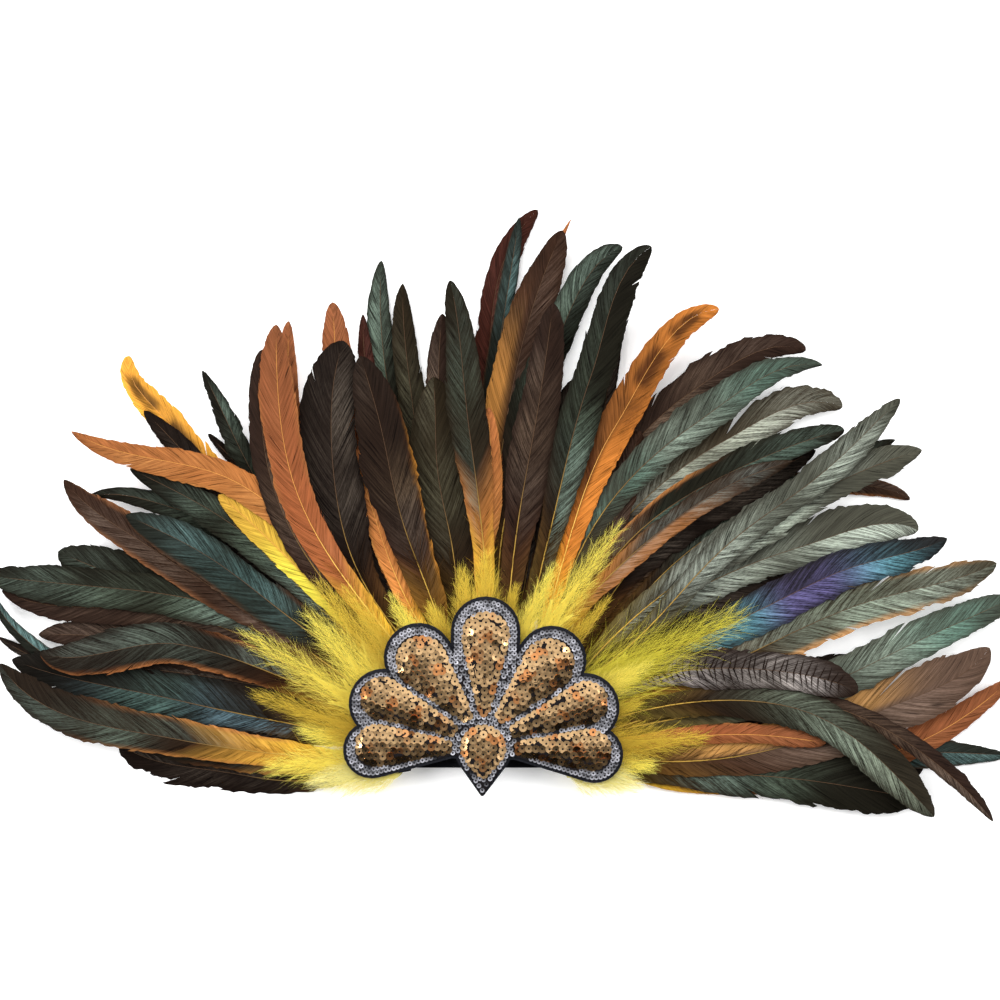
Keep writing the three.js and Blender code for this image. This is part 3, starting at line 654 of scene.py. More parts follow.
def vane(t, blunt, taper):
    """Share of the full vane width: a bare quill, a long swell, a rounded or pointed tip."""
    swell = FIRST_SWELL * smooth(t, *FIRST_STRETCH) + LATER_SWELL * smooth(t, *LATER_STRETCH)
    past = np.maximum(0, (t - TIP_FROM) / (1 - TIP_FROM))
    return swell * np.maximum(0, 1 - past ** blunt) ** taper


def spikes(rings, tips):
    """Closed spikes: each row of rings runs out to a point."""
    n, k, m, _ = rings.shape
    points = np.concatenate([rings.reshape(n, k * m, 3), tips[:, None]], axis=1)
    pattern = []
    for i in range(k - 1):
        for j in range(m):
            a, b = i * m + j, i * m + (j + 1) % m
            pattern += [(a, b, b + m), (a, b + m, a + m)]
    last = (k - 1) * m
    pattern += [(last + j, last + (j + 1) % m, k * m) for j in range(m)]
    pattern += [(0, j + 1, j) for j in range(1, m - 1)]
    return points.reshape(-1, 3), repeated(pattern, n, k * m + 1)


def repeated(pattern, count, points_each):
    """The triangles of one shape, for each of its copies."""
    shift = np.arange(count) * points_each
    return (np.array(pattern)[None] + shift[:, None, None]).reshape(-1, 3)


def plate(top, thickness):
    """A thin closed plate under a grid of points whose rows run along and columns to the left."""
    c, k, _ = top.shape
    under = c * k
    points = np.concatenate([top.reshape(-1, 3), top.reshape(-1, 3) - np.array((0, 0, thickness))])
    grid = np.arange(under).reshape(c, k)
    a, b, d, e = grid[:-1, :-1], grid[1:, :-1], grid[1:, 1:], grid[:-1, 1:]
    faces = [np.stack(f, -1).reshape(-1, 3) for f in ((a, b, d), (a, d, e))]
    faces += [f[:, ::-1] + under for f in faces]
    rim = np.concatenate((grid[:, 0], grid[-1, 1:], grid[-2::-1, -1], grid[0, -2:0:-1]))
    ahead = np.roll(rim, -1)
    faces += [np.stack((rim + under, ahead + under, ahead), -1), np.stack((rim + under, ahead, rim), -1)]
    return points, np.concatenate(faces)


def both_faces(values):
    """Values on the grid of a plate, for its top and its underside."""
    return np.tile(values.reshape(-1, 3), (2, 1))


def per_ring(values, m):
    """Values given at the stations of spikes, spread to their points."""
    body = np.repeat(values[:, :-1], m, axis=1)
    return np.concatenate([body, values[:, -1:]], axis=1).reshape((-1,) + values.shape[2:])


class Gathering:
    """Collects the strands and vanes of one piece and joins them in one mesh."""

    def __init__(self):
        self.points, self.triangles, self.values, self.count = [], [], {}, 0

    def add(self, points, triangles, **values):
        """Takes in closed shapes, with values for each of their points."""
        self.points.append(points)
        self.triangles.append(triangles + self.count)
        self.count += len(points)
        for name, value in values.items():
            self.values.setdefault(name, []).append(value)

    def add_strands(self, points, triangles, dye, streak):
        """Takes in strands, which carry no painted sheen."""
        self.add(points, triangles, dye=dye, sheen=dye, shine=np.zeros(len(points)), streak=streak)

    def add_fibres(self, centre, left, half_width, colours, streaks):
        """Strands of triangular section along rows of points, ended by their last point."""
        wide = (left * half_width[..., None])[:, :-1]
        body = centre[:, :-1]
        crest = body + half_width[:, :-1, None] * np.array((0, 0, FIBRE_CREST))
        points, triangles = spikes(np.stack((body + wide, crest, body - wide), axis=2), centre[:, -1])
        self.add_strands(points, triangles, per_ring(colours, 3), per_ring(streaks, 3))

    def make(self, name, material):
        """The joined mesh as one object."""
        points, triangles = np.concatenate(self.points), np.concatenate(self.triangles)
        values = {key: np.concatenate(parts) for key, parts in self.values.items()}
        return joined_object(name, points, triangles, material, SHARP_BARB, values)


def linked(name, data):
    """A new object in the scene."""
    made = bpy.data.objects.new(name, data)
    bpy.context.scene.collection.objects.link(made)
    return made


def modelled_object(name, bm, material):
    """An object from a finished bmesh."""
    mesh = bpy.data.meshes.new(name)
    bm.to_mesh(mesh)
    bm.free()
    mesh.materials.append(material)
    return linked(name, mesh)


def joined_object(name, points, triangles, material, sharp, values):
    """An object from arrays of many small closed shapes, with named values for every point."""
    mesh = bpy.data.meshes.new(name)
    mesh.vertices.add(len(points))
    mesh.vertices.foreach_set("co", np.ascontiguousarray(points * MM, np.float32).ravel())
    mesh.loops.add(triangles.size)
    mesh.loops.foreach_set("vertex_index", np.ascontiguousarray(triangles, np.int32).ravel())
    mesh.polygons.add(len(triangles))
    mesh.polygons.foreach_set("loop_start", np.arange(0, triangles.size, 3, dtype=np.int32))
    mesh.update(calc_edges=True)
    mesh.shade_smooth()
    mesh.set_sharp_from_angle(angle=sharp)
    mesh.materials.append(material)
    for key, value in values.items():
        kind, field = POINT_VALUES[key]
        if kind == "FLOAT_COLOR":
            value = np.concatenate([value, np.ones((len(value), 1))], axis=1)
        layer = mesh.attributes.new(key, kind, "POINT")
        layer.data.foreach_set(field, np.ascontiguousarray(value, np.float32).ravel())
    return linked(name, mesh)


def dress(made, slot, *nodes):
    """Ties a piece to the frame."""
    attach(made, "root")
    if nodes:
        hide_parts(*nodes)


class Wiring:
    """Adds and joins the nodes of one tree."""

    def __init__(self, tree):
        self.nodes, self.links = tree.nodes, tree.links

    def fill(self, node, values):
        """Sets inputs to values, or joins them to the outputs of other nodes."""
        for socket, value in values.items():
            if isinstance(value, bpy.types.NodeSocket):
                self.links.new(value, node.inputs[socket])
            else:
                node.inputs[socket].default_value = value

    def node(self, kind, values, **options):
        """A new node with its options and inputs."""
        made = self.nodes.new(kind)
        for name, option in options.items():
            setattr(made, name, option)
        self.fill(made, values)
        return made

    def math(self, operation, first, second):
        return self.node("ShaderNodeMath", {0: first, 1: second}, operation=operation).outputs[0]

    def attribute(self, name, output):
        return self.node("ShaderNodeAttribute", {}, attribute_name=name).outputs[output]

    def noise(self, streak, scale):
        """Noise drawn out along the barbs, about zero."""
        place = self.node("ShaderNodeVectorMath", {0: streak, 1: scale}, operation="MULTIPLY").outputs[0]
        noise = self.node("ShaderNodeTexNoise", {"Scale": 1.0, "Detail": 2.0, "Vector": place})
        return self.math("SUBTRACT", noise.outputs["Fac"], 0.5)

    def weighted(self, noises, shares, total):
        """Noises in their shares, added to a total."""
        for name, share in shares.items():
            total = self.math("ADD", self.math("MULTIPLY", noises[name], share), total)
        return total


def new_material(name):
    """A material, its wiring and its surface shader."""
    material = bpy.data.materials.new(name)
    material.use_nodes = True
    wiring = Wiring(material.node_tree)
    return material, wiring, wiring.nodes["Principled BSDF"]


def barb_streaks():
    """Group: streaks a colour and its painted sheen highlight along the barbs, darkens the slits between
    them as painted shade, and raises them over a rounded vane.
    """
    if "barb_streaks" in bpy.data.node_groups:
        return bpy.data.node_groups["barb_streaks"]
    group = bpy.data.node_groups.new("barb_streaks", "ShaderNodeTree")
    for way, kind, labels in (
            ("INPUT", "NodeSocketColor", ("Color", "Sheen")),
            ("INPUT", "NodeSocketVector", ("Streak",)),
            ("INPUT", "NodeSocketFloat", ("Shine", "Depth", "Crown", "Gloss")),
            ("OUTPUT", "NodeSocketColor", ("Color",)),
            ("OUTPUT", "NodeSocketFloat", ("Metallic", "Height"))):
        for label in labels:
            group.interface.new_socket(label, in_out=way, socket_type=kind)
    wiring = Wiring(group)
    given = wiring.node("NodeGroupInput", {}).outputs
    noises = {name: wiring.noise(given["Streak"], scale) for name, scale in STREAKS.items()}
    # Slits between barbs, painted dark as shade; they also hide the painted sheen.
    slit_shade = wiring.node(
        "ShaderNodeMapRange",
        {"Value": noises["slit"], "From Min": SLIT_EDGES[0], "From Max": SLIT_EDGES[1], "To Min": 1.0,
         "To Max": SLIT_SHADE_TONE},
        interpolation_type="SMOOTHSTEP").outputs["Result"]
    ripple = wiring.math("MULTIPLY", wiring.weighted(noises, RIPPLE, RIPPLE_BASE), slit_shade)
    # How much of the painted sheen highlight shows at each place.
    share = wiring.math("MAXIMUM", wiring.math("MULTIPLY", ripple, given["Shine"]), 0.0)
    share = wiring.math("MINIMUM", share, 1.0)
    sheen = wiring.node(
        "ShaderNodeMix", {"Factor": share, "A": given["Color"], "B": given["Sheen"]}, data_type="RGBA")
    tone = wiring.math("MULTIPLY", wiring.math("ADD", noises["fine"], noises["broad"]), given["Depth"])
    tone = wiring.math("MAXIMUM", wiring.math("ADD", tone, 1.0), DARKEST_TONE)
    shaded = wiring.node(
        "ShaderNodeVectorMath",
        {0: sheen.outputs["Result"], "Scale": wiring.math("MULTIPLY", tone, slit_shade)}, operation="SCALE")
    across = wiring.node("ShaderNodeSeparateXYZ", {0: given["Streak"]}).outputs["Y"]
    bow = wiring.math("MULTIPLY", wiring.math("MULTIPLY", across, across), given["Crown"])
    wiring.node("NodeGroupOutput", {
        "Color": shaded.outputs[0],
        "Metallic": wiring.math("MULTIPLY", share, given["Gloss"]),
        "Height": wiring.math("SUBTRACT", wiring.weighted(noises, RELIEF, 0.0), bow)})
    return group


def plumage_material(name, depth, crown, roughness, gloss):
    """Barbs coloured by their own dye and a painted sheen highlight, partly their own iridescence, with a
    soft metallic shimmer where it shows.
    """
    material, wiring, shader = new_material(name)
    barbs = wiring.node("ShaderNodeGroup", {
        "Color": wiring.attribute("dye", "Color"),
        "Sheen": wiring.attribute("sheen", "Color"),
        "Shine": wiring.attribute("shine", "Fac"),
        "Streak": wiring.attribute("streak", "Vector"),
        "Depth": depth, "Crown": crown, "Gloss": gloss}, node_tree=barb_streaks())
    relief = wiring.node("ShaderNodeBump", {"Distance": MM, "Height": barbs.outputs["Height"]})
    wiring.fill(shader, {
        "Base Color": barbs.outputs["Color"],
        "Metallic": barbs.outputs["Metallic"],
        "Normal": relief.outputs["Normal"],
        "Roughness": roughness,
        "Specular IOR Level": PLUMAGE_SPECULAR})
    return material


def cloth_material(name, colour, scale, bump):
    """Matt felted cloth with a fine nap."""
    material, wiring, shader = new_material(name)
    place = wiring.node("ShaderNodeTexCoord", {}).outputs["Object"]
    noise = wiring.node(
        "ShaderNodeTexNoise", {"Vector": place, "Scale": scale, "Detail": 6.0, "Roughness": 0.7})
    nap = noise.outputs["Fac"]
    ramp = wiring.node("ShaderNodeValToRGB", {"Fac": nap})
    for stop, (position, shade) in zip(ramp.color_ramp.elements, (NAP_DARK, NAP_LIGHT)):
        stop.position = position
        stop.color = (*(linear(colour) * shade), 1)
    relief = wiring.node("ShaderNodeBump", {"Strength": bump, "Distance": NAP_HEIGHT, "Height": nap})
    wiring.fill(shader, {
        "Base Color": ramp.outputs["Color"],
        "Normal": relief.outputs["Normal"],
        "Roughness": 0.92,
        "Specular IOR Level": 0.15})
    return material


def foil_material(name, colour):
    """Bright foil whose tint and polish change from sequin to sequin."""
    material, wiring, shader = new_material(name)
    tinted = wiring.node(
        "ShaderNodeMix", {"Factor": 1.0, "A": (*colour, 1), "B": wiring.attribute("tint", "Color")},
        data_type="RGBA", blend_type="MULTIPLY")
    wiring.fill(shader, {
        "Base Color": tinted.outputs["Result"],
        "Roughness": wiring.attribute("polish", "Fac"),
        "Metallic": 1.0})
    return material


class Plume:
    """One dyed feather of the table, along its shaft."""

    def __init__(self, row, number, rng):
        self.row, self.number = row, number
        sway = rng.uniform(*SWAY_SIZE), rng.uniform(*SWAY_PACE), rng.uniform(*ANY_PHASE)
        self.line = Shaft(row.seat, (row.via_x, row.via_y), (row.tip_x, row.tip_y), row.hook, sway)
        self.dye = DYES_AND_SHEENS[row.dye]
        self.glowing = row.dye in GLOWING
        self.ragged = row.ragged + LEAST_RAGGED
        self.brightness = rng.uniform(*BRIGHTNESS)
        self.roll = rng.uniform(*ROLL)
        self.tip = rng.uniform(*TIP_BLUNT), rng.uniform(*TIP_TAPER)
        self.skew = rng.uniform(*SKEW)
        # The painted sheen is strongest on the vane taken as lit, on the right sector always side -1; the
        # other vane gets a weaker, shaded sheen.
        lit_vane = -1 if sector_of(row.seat) == "right" else rng.choice((-1, 1))
        self.glints, self.waves, self.rims = {0: []}, {}, {}
        for side in (-1, 1):
            gain = 1.0 if side == lit_vane else SHADED_VANE_SHEEN
            self.glints[side] = [
                (gain * rng.uniform(*GLINT_STRENGTH), rng.uniform(*GLINT_PLACE), rng.uniform(*GLINT_SPAN))
                for _ in range(GLINTS_PER_VANE)]
            self.waves[side] = rng.uniform(*WAVE_SIZE), rng.uniform(*WAVE_PACE), rng.uniform(*ANY_PHASE)
            self.rims[side] = rng.uniform(*RIM_STRENGTH), rng.uniform(*RIM_PLACE), rng.uniform(*RIM_SPAN)

    def half(self, t, side):
        """Width of the vane on one side."""
        size, pace, phase = self.waves[side]
        wave = 1 + side * self.skew + size * np.sin(pace * t + phase)
        return self.row.width / 2 * vane(t, *self.tip) * wave

    def height(self, x, y):
        return layer_height(self.row.layer, x, y)

    def rim_share(self, t, edge, side):
        """How much of the rim's colour a place takes."""
        dye = self.dye
        strength, centre, span = self.rims[side] if dye.edge_side == 0 else WHOLE_RIM
        across = smooth(edge, dye.edge_from, dye.edge_from + RIM_SOFTNESS)
        return strength * across * smooth(t, *RIM_START) * np.exp(-(((t - centre) / span) ** 4))

    def blotch_share(self, t, edge, side):
        """How much of the blotches' colour a place takes."""
        waves = np.sin(BLOTCH_PACE * t + BLOTCH_SHIFT * side) + FINE_SHARE * np.sin(FINE_PACE * t)
        window = smooth(t, *BLOTCH_FROM) * (1 - smooth(t, *BLOTCH_TO)) * (1 - smooth(edge, *BLOTCH_OUT))
        return BLOTCH_DEPTH * smooth(waves, *BLOTCH_EDGES) * window

    def paint(self, t, edge, side):
        """Colour, painted sheen highlight and its strength at places along and across a vane."""
        dye = self.dye
        stops = [linear(code) for code in (dye.root, dye.mid, dye.outer, dye.tip)]
        colour = read_off(t - BARB_COLOUR_LAG * edge, DYE_STOPS, stops)
        if dye.edge and side and dye.edge_side in (0, side):
            colour = mixed(colour, linear(dye.edge), self.rim_share(t, edge, side))
        if self.row.dye in BLOTCHED:
            colour = mixed(colour, linear(BLOTCH), self.blotch_share(t, edge, side))
        # Painted sheen highlight: glints along the vane that fade towards its edge, in colours that change
        # along it.
        shine = np.zeros_like(t)
        for strength, centre, span in self.glints[side]:
            shine = np.maximum(shine, dye.shine * strength * np.exp(-(((t - centre) / span) ** 2)))
        shine = shine * (1 - EDGE_DULLING * smooth(edge, *DULL_EDGE))
        ends = np.maximum(1 - smooth(t, *LOW_SHEEN), smooth(t, *HIGH_SHEEN))
        sheen = mixed(linear(dye.sheen), linear(dye.far_sheen), ends)
        dark = 1 - smooth(colour.mean(axis=-1), *DARK_COLOURS)
        pale = np.full(3, 1.0 if self.glowing else PALE_DEPTH)
        colour = colour * mixed(pale, np.array(WARM_DEPTH), dark)
        return colour * self.brightness, sheen * self.brightness * SHEEN_GAIN, shine


class Wisp:
    """One quill of a lock of down, turned from the lock's own line."""

    ragged = 1.0
    roll = 0.0

    def __init__(self, row, number, turn, share, lift):
        self.row, self.number, self.lift = row, number, lift
        root = on_binding(row.seat, -QUILL_DEPTH)
        run = (np.array((row.tip_x, row.tip_y)) - root) * share
        self.line = Shaft(row.seat, root + run * 0.5, root + rotated(run, turn), 0)
        self.low, self.high = (linear(code) for code in TINTS[row.tint])

    def half(self, t, side):
        """Width of the core on either side."""
        narrowing = 1 - CORE_TAPER * smooth(t, *CORE_NARROWING)
        return self.row.width * CORE_WIDTH * smooth(t, *CORE_SWELL) * narrowing

    def height(self, x, y):
        top = len(ROWS) * LAYERS_PER_ROW - 1
        return layer_height(top, x, y) + self.lift + self.row.sub * LOCK_SUB_PITCH

    def paint(self, t, edge, side):
        """Colour of the down, darker at the roots and paler to the tips and edges, partly painted shade; it
        doesn't shimmer.
        """
        share = np.clip(ROOT_PALENESS + TIP_PALENESS * t + EDGE_PALENESS * edge, 0, 1)
        colour = mixed(self.low, self.high, share)
        return colour, colour, np.zeros_like(t)


def grow_vane(gathering, plume, side, settings, rng):
    """The barbs on one side of a shaft, zipped in tufts that part here and there."""
    line = plume.line
    start, low = np.interp((VANE_FROM, BARBS_FROM), line.t, line.s)
    count = max(FEWEST_BARBS, round((line.length - start) * MM / settings.barb_pitch))
    s_tip = start + (line.length - start) * (1 - (1 - np.linspace(0, 1, count)) ** TIP_CROWDING)
    t_tip = np.interp(s_tip, line.s, line.t)
    reach = plume.half(t_tip, side)
    change = smooth(t_tip, *ANGLE_CHANGE)
    angle = settings.root_angle + (settings.tip_angle - settings.root_angle) * change
    s_root = np.maximum(s_tip - reach / np.tan(angle), low + ROOT_SPACING * (s_tip - start))
    largest = RAGGED_TUFT if plume.ragged > RAGGED_FROM else NEAT_TUFT
    first = 0
    while first < count - 1:
        last = first + int(rng.integers(SMALLEST_TUFT, largest))
        last = count - 1 if last > count - TIP_TUFT else last
        tuft = slice(first, last + 2)
        loose = 0.0 if last == count - 1 else 1.0
        grow_tuft(gathering, plume, side, s_root[tuft], s_tip[tuft], reach[tuft], loose, settings, rng)
        first = last


def spread(parts, ragged):
    """Spread of a random draw for a feather as ragged as this."""
    neat, loose = parts
    return neat + loose * ragged


def grow_tuft(gathering, plume, side, s_root, s_tip, reach, loose, settings, rng):
    """A tuft of barbs as one thin plate, its lower end over the tuft before it."""
    u = np.array(BARB_STATIONS)
    lean = loose * rng.normal(0, spread(LEAN_SPREAD, plume.ragged))
    if rng.random() < SPLIT_CHANCE:
        lean -= loose * rng.uniform(*SPLIT_LEAN)
    reach = reach * (1 + loose * rng.normal(0, spread(TUFT_SPREAD, plume.ragged)))
    reach = reach * rng.normal(1, spread(BARB_SPREAD, plume.ragged), len(reach))
    reach = np.maximum(SHORTEST_BARB, reach)
    s = s_root[:, None] + (s_tip - s_root)[:, None] * u ** BARB_BOW + (reach * lean)[:, None] * u ** 2
    out = reach[:, None] * u
    point, along, t = plume.line.at(s)
    top = np.empty(s.shape + (3,))
    top[..., :2] = point + side * sideways(along)[..., :2] * out[..., None]
    edge = np.clip(out / np.maximum(NARROWEST_VANE, plume.half(t, side)), 0, 1)
    top[..., 2] = plume.height(top[..., 0], top[..., 1]) - EDGE_DROOP * edge ** 2
    top[..., 2] += side * plume.roll * out + np.linspace(TUFT_OVERLAP, 0, len(reach))[:, None] * u
    streak = np.empty(top.shape)
    streak[..., 0] = s_root[:, None]
    streak[..., 1] = side * edge
    streak[..., 2] = plume.number
    if side < 0:
        top, t, edge, streak = top[::-1], t[::-1], edge[::-1], streak[::-1]
    dye, sheen, shine = plume.paint(t, edge, side)
    points, triangles = plate(top, settings.thickness / MM)
    gathering.add(
        points, triangles, dye=both_faces(dye), sheen=both_faces(sheen), streak=both_faces(streak),
        shine=np.tile(shine.ravel(), 2))


def grow_shaft(gathering, plume, radius):
    """A tapering quill along the middle line."""
    point, along, t = plume.line.at(np.linspace(0, plume.line.length * SHAFT_END, SHAFT_STATIONS))
    height = plume.height(point[:, 0], point[:, 1]) + SHAFT_LIFT
    centre = np.concatenate([point, height[:, None]], axis=1)
    thick = radius * (1 - SHAFT_TAPER * smooth(t, *SHAFT_THINNING))
    turn = np.arange(SHAFT_SIDES) * 2 * np.pi / SHAFT_SIDES
    ring = np.cos(turn)[None, :, None] * sideways(along)[:, None]
    ring = ring + np.sin(turn)[None, :, None] * np.array((0, 0, 1.0))
    rings = centre[:, None] + ring * thick[:, None, None]
    points, triangles = spikes(rings[None, :-1], centre[None, -1])
    root, tip = GLOWING_HORN if plume.glowing else DARK_HORN
    horn = mixed(linear(root), linear(tip), smooth(t, *HORN_CHANGE))
    streak = np.tile(np.array((0, 0, plume.number)), (len(points), 1))
    gathering.add_strands(points, triangles, per_ring(horn[None], SHAFT_SIDES), streak)


def grow_fibres(gathering, plume, place, offset, angle, bend, reach, width, stations, rise):
    """Fibres that leave a plume: where along it, how far to its left, and which way."""
    u = np.array(stations)
    point, along, t = plume.line.at(place * plume.line.length)
    heading = (np.arctan2(along[:, 1], along[:, 0]) + angle)[:, None] + bend[:, None] * u
    step = reach[:, None] * np.diff(u, prepend=0)
    centre = np.empty(heading.shape + (3,))
    root = point + sideways(along)[:, :2] * offset[:, None]
    centre[..., 0] = root[:, :1] + np.cumsum(step * np.cos(heading), axis=1)
    centre[..., 1] = root[:, 1:] + np.cumsum(step * np.sin(heading), axis=1)
    lift = rise[:, None] * (FIBRE_ROOT_RISE + (1 - FIBRE_ROOT_RISE) * u)
    centre[..., 2] = plume.height(centre[..., 0], centre[..., 1]) + lift
    left = np.stack((-np.sin(heading), np.cos(heading), np.zeros_like(heading)), -1)
    half = np.broadcast_to(width / 2 * (1 - FIBRE_TAPER * u), heading.shape)
    places = np.repeat(t[:, None], len(u), axis=1)
    colours, _, _ = plume.paint(places, np.broadcast_to(u, heading.shape), 0)
    streak = np.zeros(centre.shape)
    streak[..., 0] = (place * FIBRE_STREAKS)[:, None]
    streak[..., 2] = plume.number
    gathering.add_fibres(centre, left, half, colours, streak)


def grow_foot(gathering, plume, count, rng):
    """Loose curling barbs over the foot of a feather."""
    side = rng.choice((-1, 1), count)
    place = rng.uniform(*FOOT_PLACE, count)
    angle = side * np.radians(np.clip(rng.normal(*FOOT_ANGLE, count), *FOOT_ANGLE_LIMITS))
    bend = -side * np.radians(rng.normal(*FOOT_BEND, count))
    reach = plume.row.width * rng.uniform(*FOOT_REACH, count)
    rise = rng.uniform(*FOOT_RISE, count) * smooth(place, *FOOT_RISE_FROM)
    grow_fibres(gathering, plume, place, np.zeros(count), angle, bend, reach, FOOT_WIDTH, CURLED, rise)


def grow_fringe(gathering, plume, count, rng):
    """Barb ends that stand past the edges of a vane."""
    level = np.zeros(count)
    for side in (-1, 1):
        place = rng.uniform(*FRINGE_PLACE, count)
        t = np.interp(place * plume.line.length, plume.line.s, plume.line.t)
        offset = side * plume.half(t, side) * rng.uniform(*FRINGE_INSET, count)
        angle = side * np.radians(rng.uniform(*FRINGE_ANGLE, count))
        longest = FRINGE_LONGEST + FRINGE_RAGGED * plume.ragged
        reach = rng.uniform(FRINGE_SHORTEST, longest, count) * (1 - FRINGE_TIP_CUT * smooth(t, *FRINGE_TIP))
        grow_fibres(gathering, plume, place, offset, angle, level, reach, FRINGE_WIDTH, STRAIGHT, level)


def grow_bars(gathering, plume, rng):
    """Dark bars across both vanes."""
    for side in (-1, 1):
        place = np.arange(*BAR_PLACES, BAR_PITCH / plume.line.length)
        count = len(place)
        level = np.zeros(count)
        place = place + rng.normal(0, BAR_SCATTER, count)
        t = np.interp(place * plume.line.length, plume.line.s, plume.line.t)
        angle = side * np.radians(rng.normal(*BAR_ANGLE, count))
        reach = plume.half(t, side) * rng.uniform(*BAR_REACH, count)
        rise = np.full(count, BAR_RISE)
        grow_fibres(gathering, plume, place, level, angle, level, reach, BAR_WIDTH, CURLED, rise)


def grow_feather(gathering, plume, settings, rng):
    """Vanes, shaft, fringe and loose foot of one feather."""
    for side in (1, -1):
        grow_vane(gathering, plume, side, settings, rng)
    grow_shaft(gathering, plume, settings.shaft_radius / MM)
    grow_foot(gathering, plume, settings.wisps, rng)
    grow_fringe(gathering, plume, settings.fringe, rng)
    if plume.row.dye == "barred":
        grow_bars(gathering, plume, rng)


def grow_lock(gathering, row, number, settings, feather_settings, rng):
    """A lock of down: a soft ragged core under curling fibres and thin fuzz."""
    for turn, share in CORES:
        core = Wisp(row, number, turn, share, LOCK_LIFT - CORE_SINK)
        for side in (1, -1):
            grow_vane(gathering, core, side, feather_settings, rng)
    whole = Wisp(row, number, 0, 1.0, LOCK_LIFT)
    fibre_width = settings.fibre_width / MM
    kinds = (
        (settings.fibres, 1.0, fibre_width, CURLED),
        (settings.fuzz, FUZZ_LENGTH, FUZZ_WIDTH * fibre_width, STRAIGHT))
    for count, length, width, stations in kinds:
        place = DOWN_FROM + DOWN_RUN * rng.beta(*DOWN_CROWDING, count)
        room = row.width * (DOWN_SPREAD - DOWN_CLOSING * place) * smooth(place, *DOWN_OPENING)
        offset = np.clip(rng.normal(0, DOWN_SCATTER, count), -DOWN_WIDEST, DOWN_WIDEST) * room
        angle = np.radians(rng.normal(0, DOWN_ANGLE, count) + DOWN_FAN * offset / row.width)
        bend = np.radians(rng.normal(0, DOWN_BEND, count)) * (1 - DOWN_STRAIGHTENING * place)
        reach = row.width * length * (DOWN_LENGTH - DOWN_SHORTENING * place)
        reach = reach * rng.uniform(*DOWN_REACH, count)
        rise = rng.uniform(*DOWN_RISE, count) * smooth(place, *DOWN_RISE_FROM)
        grow_fibres(gathering, whole, place, offset, angle, bend, reach, width, stations, rise)


def centre_and_run(twin):
    """The middle of a shape's large disc, the way to its small one, and how far that is."""
    middle = np.array((twin.x, twin.y))
    run = np.array((twin.neck_x, twin.neck_y)) - middle
    return middle, unit(run), np.linalg.norm(run)


def depth(points, twin):
    """Signed distance from a shape of two joined discs, negative inside."""
    middle, run, length = centre_and_run(twin)
    p = points - middle
    down = p @ run
    out = np.abs(p @ sideways(run)[:2])
    lean = (twin.r - twin.neck_r) / length
    slope = np.sqrt(1 - lean * lean)
    k = -lean * out + slope * down
    straight = slope * out + lean * down - twin.r
    near = np.hypot(out, down) - twin.r
    far = np.hypot(out, down - length) - twin.neck_r
    return np.where(k < 0, near, np.where(k > slope * length, far, straight))


def least_depth(points, twins):
    return np.min([depth(points, twin) for twin in twins], axis=0)


def mirrored(table):
    """The middle shape, and the others on both sides."""
    return [table[0]] + [
        t._replace(x=side * t.x, neck_x=side * t.neck_x) for t in table[1:] for side in (-1, 1)]


def outline(twin, grow, pitch):
    """Evenly spaced points round a shape of two joined discs, grown outwards."""
    big, small = twin.r + grow, max(SMALLEST_NECK, twin.neck_r + grow)
    _, run, length = centre_and_run(twin)
    heading, lean = np.arctan2(run[1], run[0]), np.arccos((big - small) / length)
    wide = np.linspace(heading + lean, heading + 2 * np.pi - lean, WIDE_STEPS)
    narrow = np.linspace(heading - lean, heading + lean, NARROW_STEPS)
    line = np.concatenate([
        np.stack((twin.x + big * np.cos(wide), twin.y + big * np.sin(wide)), -1),
        np.stack((twin.neck_x + small * np.cos(narrow), twin.neck_y + small * np.sin(narrow)), -1)])
    line = np.concatenate([line, line[:1]])
    s = lengths(line)
    count = max(3, round(s[-1] / pitch))
    return read_off(np.arange(count) * s[-1] / count, s, line)


def sequin_discs(name, centres, normals, radius, shape, material, tint, polish):
    """Cupped discs with a hole, joined in one mesh."""
    hole, thick, cup, sides = shape
    turn = np.arange(sides) * 2 * np.pi / sides
    across = unit(np.cross(normals, np.array((0, 1.0, 0))))
    up = np.cross(normals, across)
    ring = np.cos(turn)[None, :, None] * across[:, None] + np.sin(turn)[None, :, None] * up[:, None]
    rise = normals[:, None]
    base = centres[:, None]
    layers = np.stack((
        base + ring * radius + rise * cup,
        base + ring * hole,
        base + ring * hole - rise * thick,
        base + ring * radius + rise * (cup - thick)), axis=1)
    pattern = []
    for i in range(4):
        for j in range(sides):
            a, b = i * sides + j, i * sides + (j + 1) % sides
            c, d = (i + 1) % 4 * sides + j, (i + 1) % 4 * sides + (j + 1) % sides
            pattern += [(a, b, d), (a, d, c)]
    each = 4 * sides
    triangles = repeated(pattern, len(centres), each)
    values = {"tint": np.repeat(tint, each, axis=0), "polish": np.repeat(polish, each)}
    return joined_object(name, layers.reshape(-1, 3), triangles, material, SHARP_FOIL, values)


def apart(points, spacing):
    """The points that keep a spacing from those before them."""
    kept = points[:1]
    for point in points[1:]:
        if np.linalg.norm(kept - point, axis=1).min() > spacing:
            kept = np.concatenate([kept, point[None]])
    return kept


def leaning(slopes, tilt, rng):
    """Upward directions over a slope, each with its own lean."""
    own = np.clip(rng.standard_t(LEAN_TAILS, slopes.shape), -MOST_LEAN, MOST_LEAN)
    lean = -slopes + own * np.tan(tilt)
    return unit(np.concatenate([lean, np.ones((len(lean), 1))], axis=1))


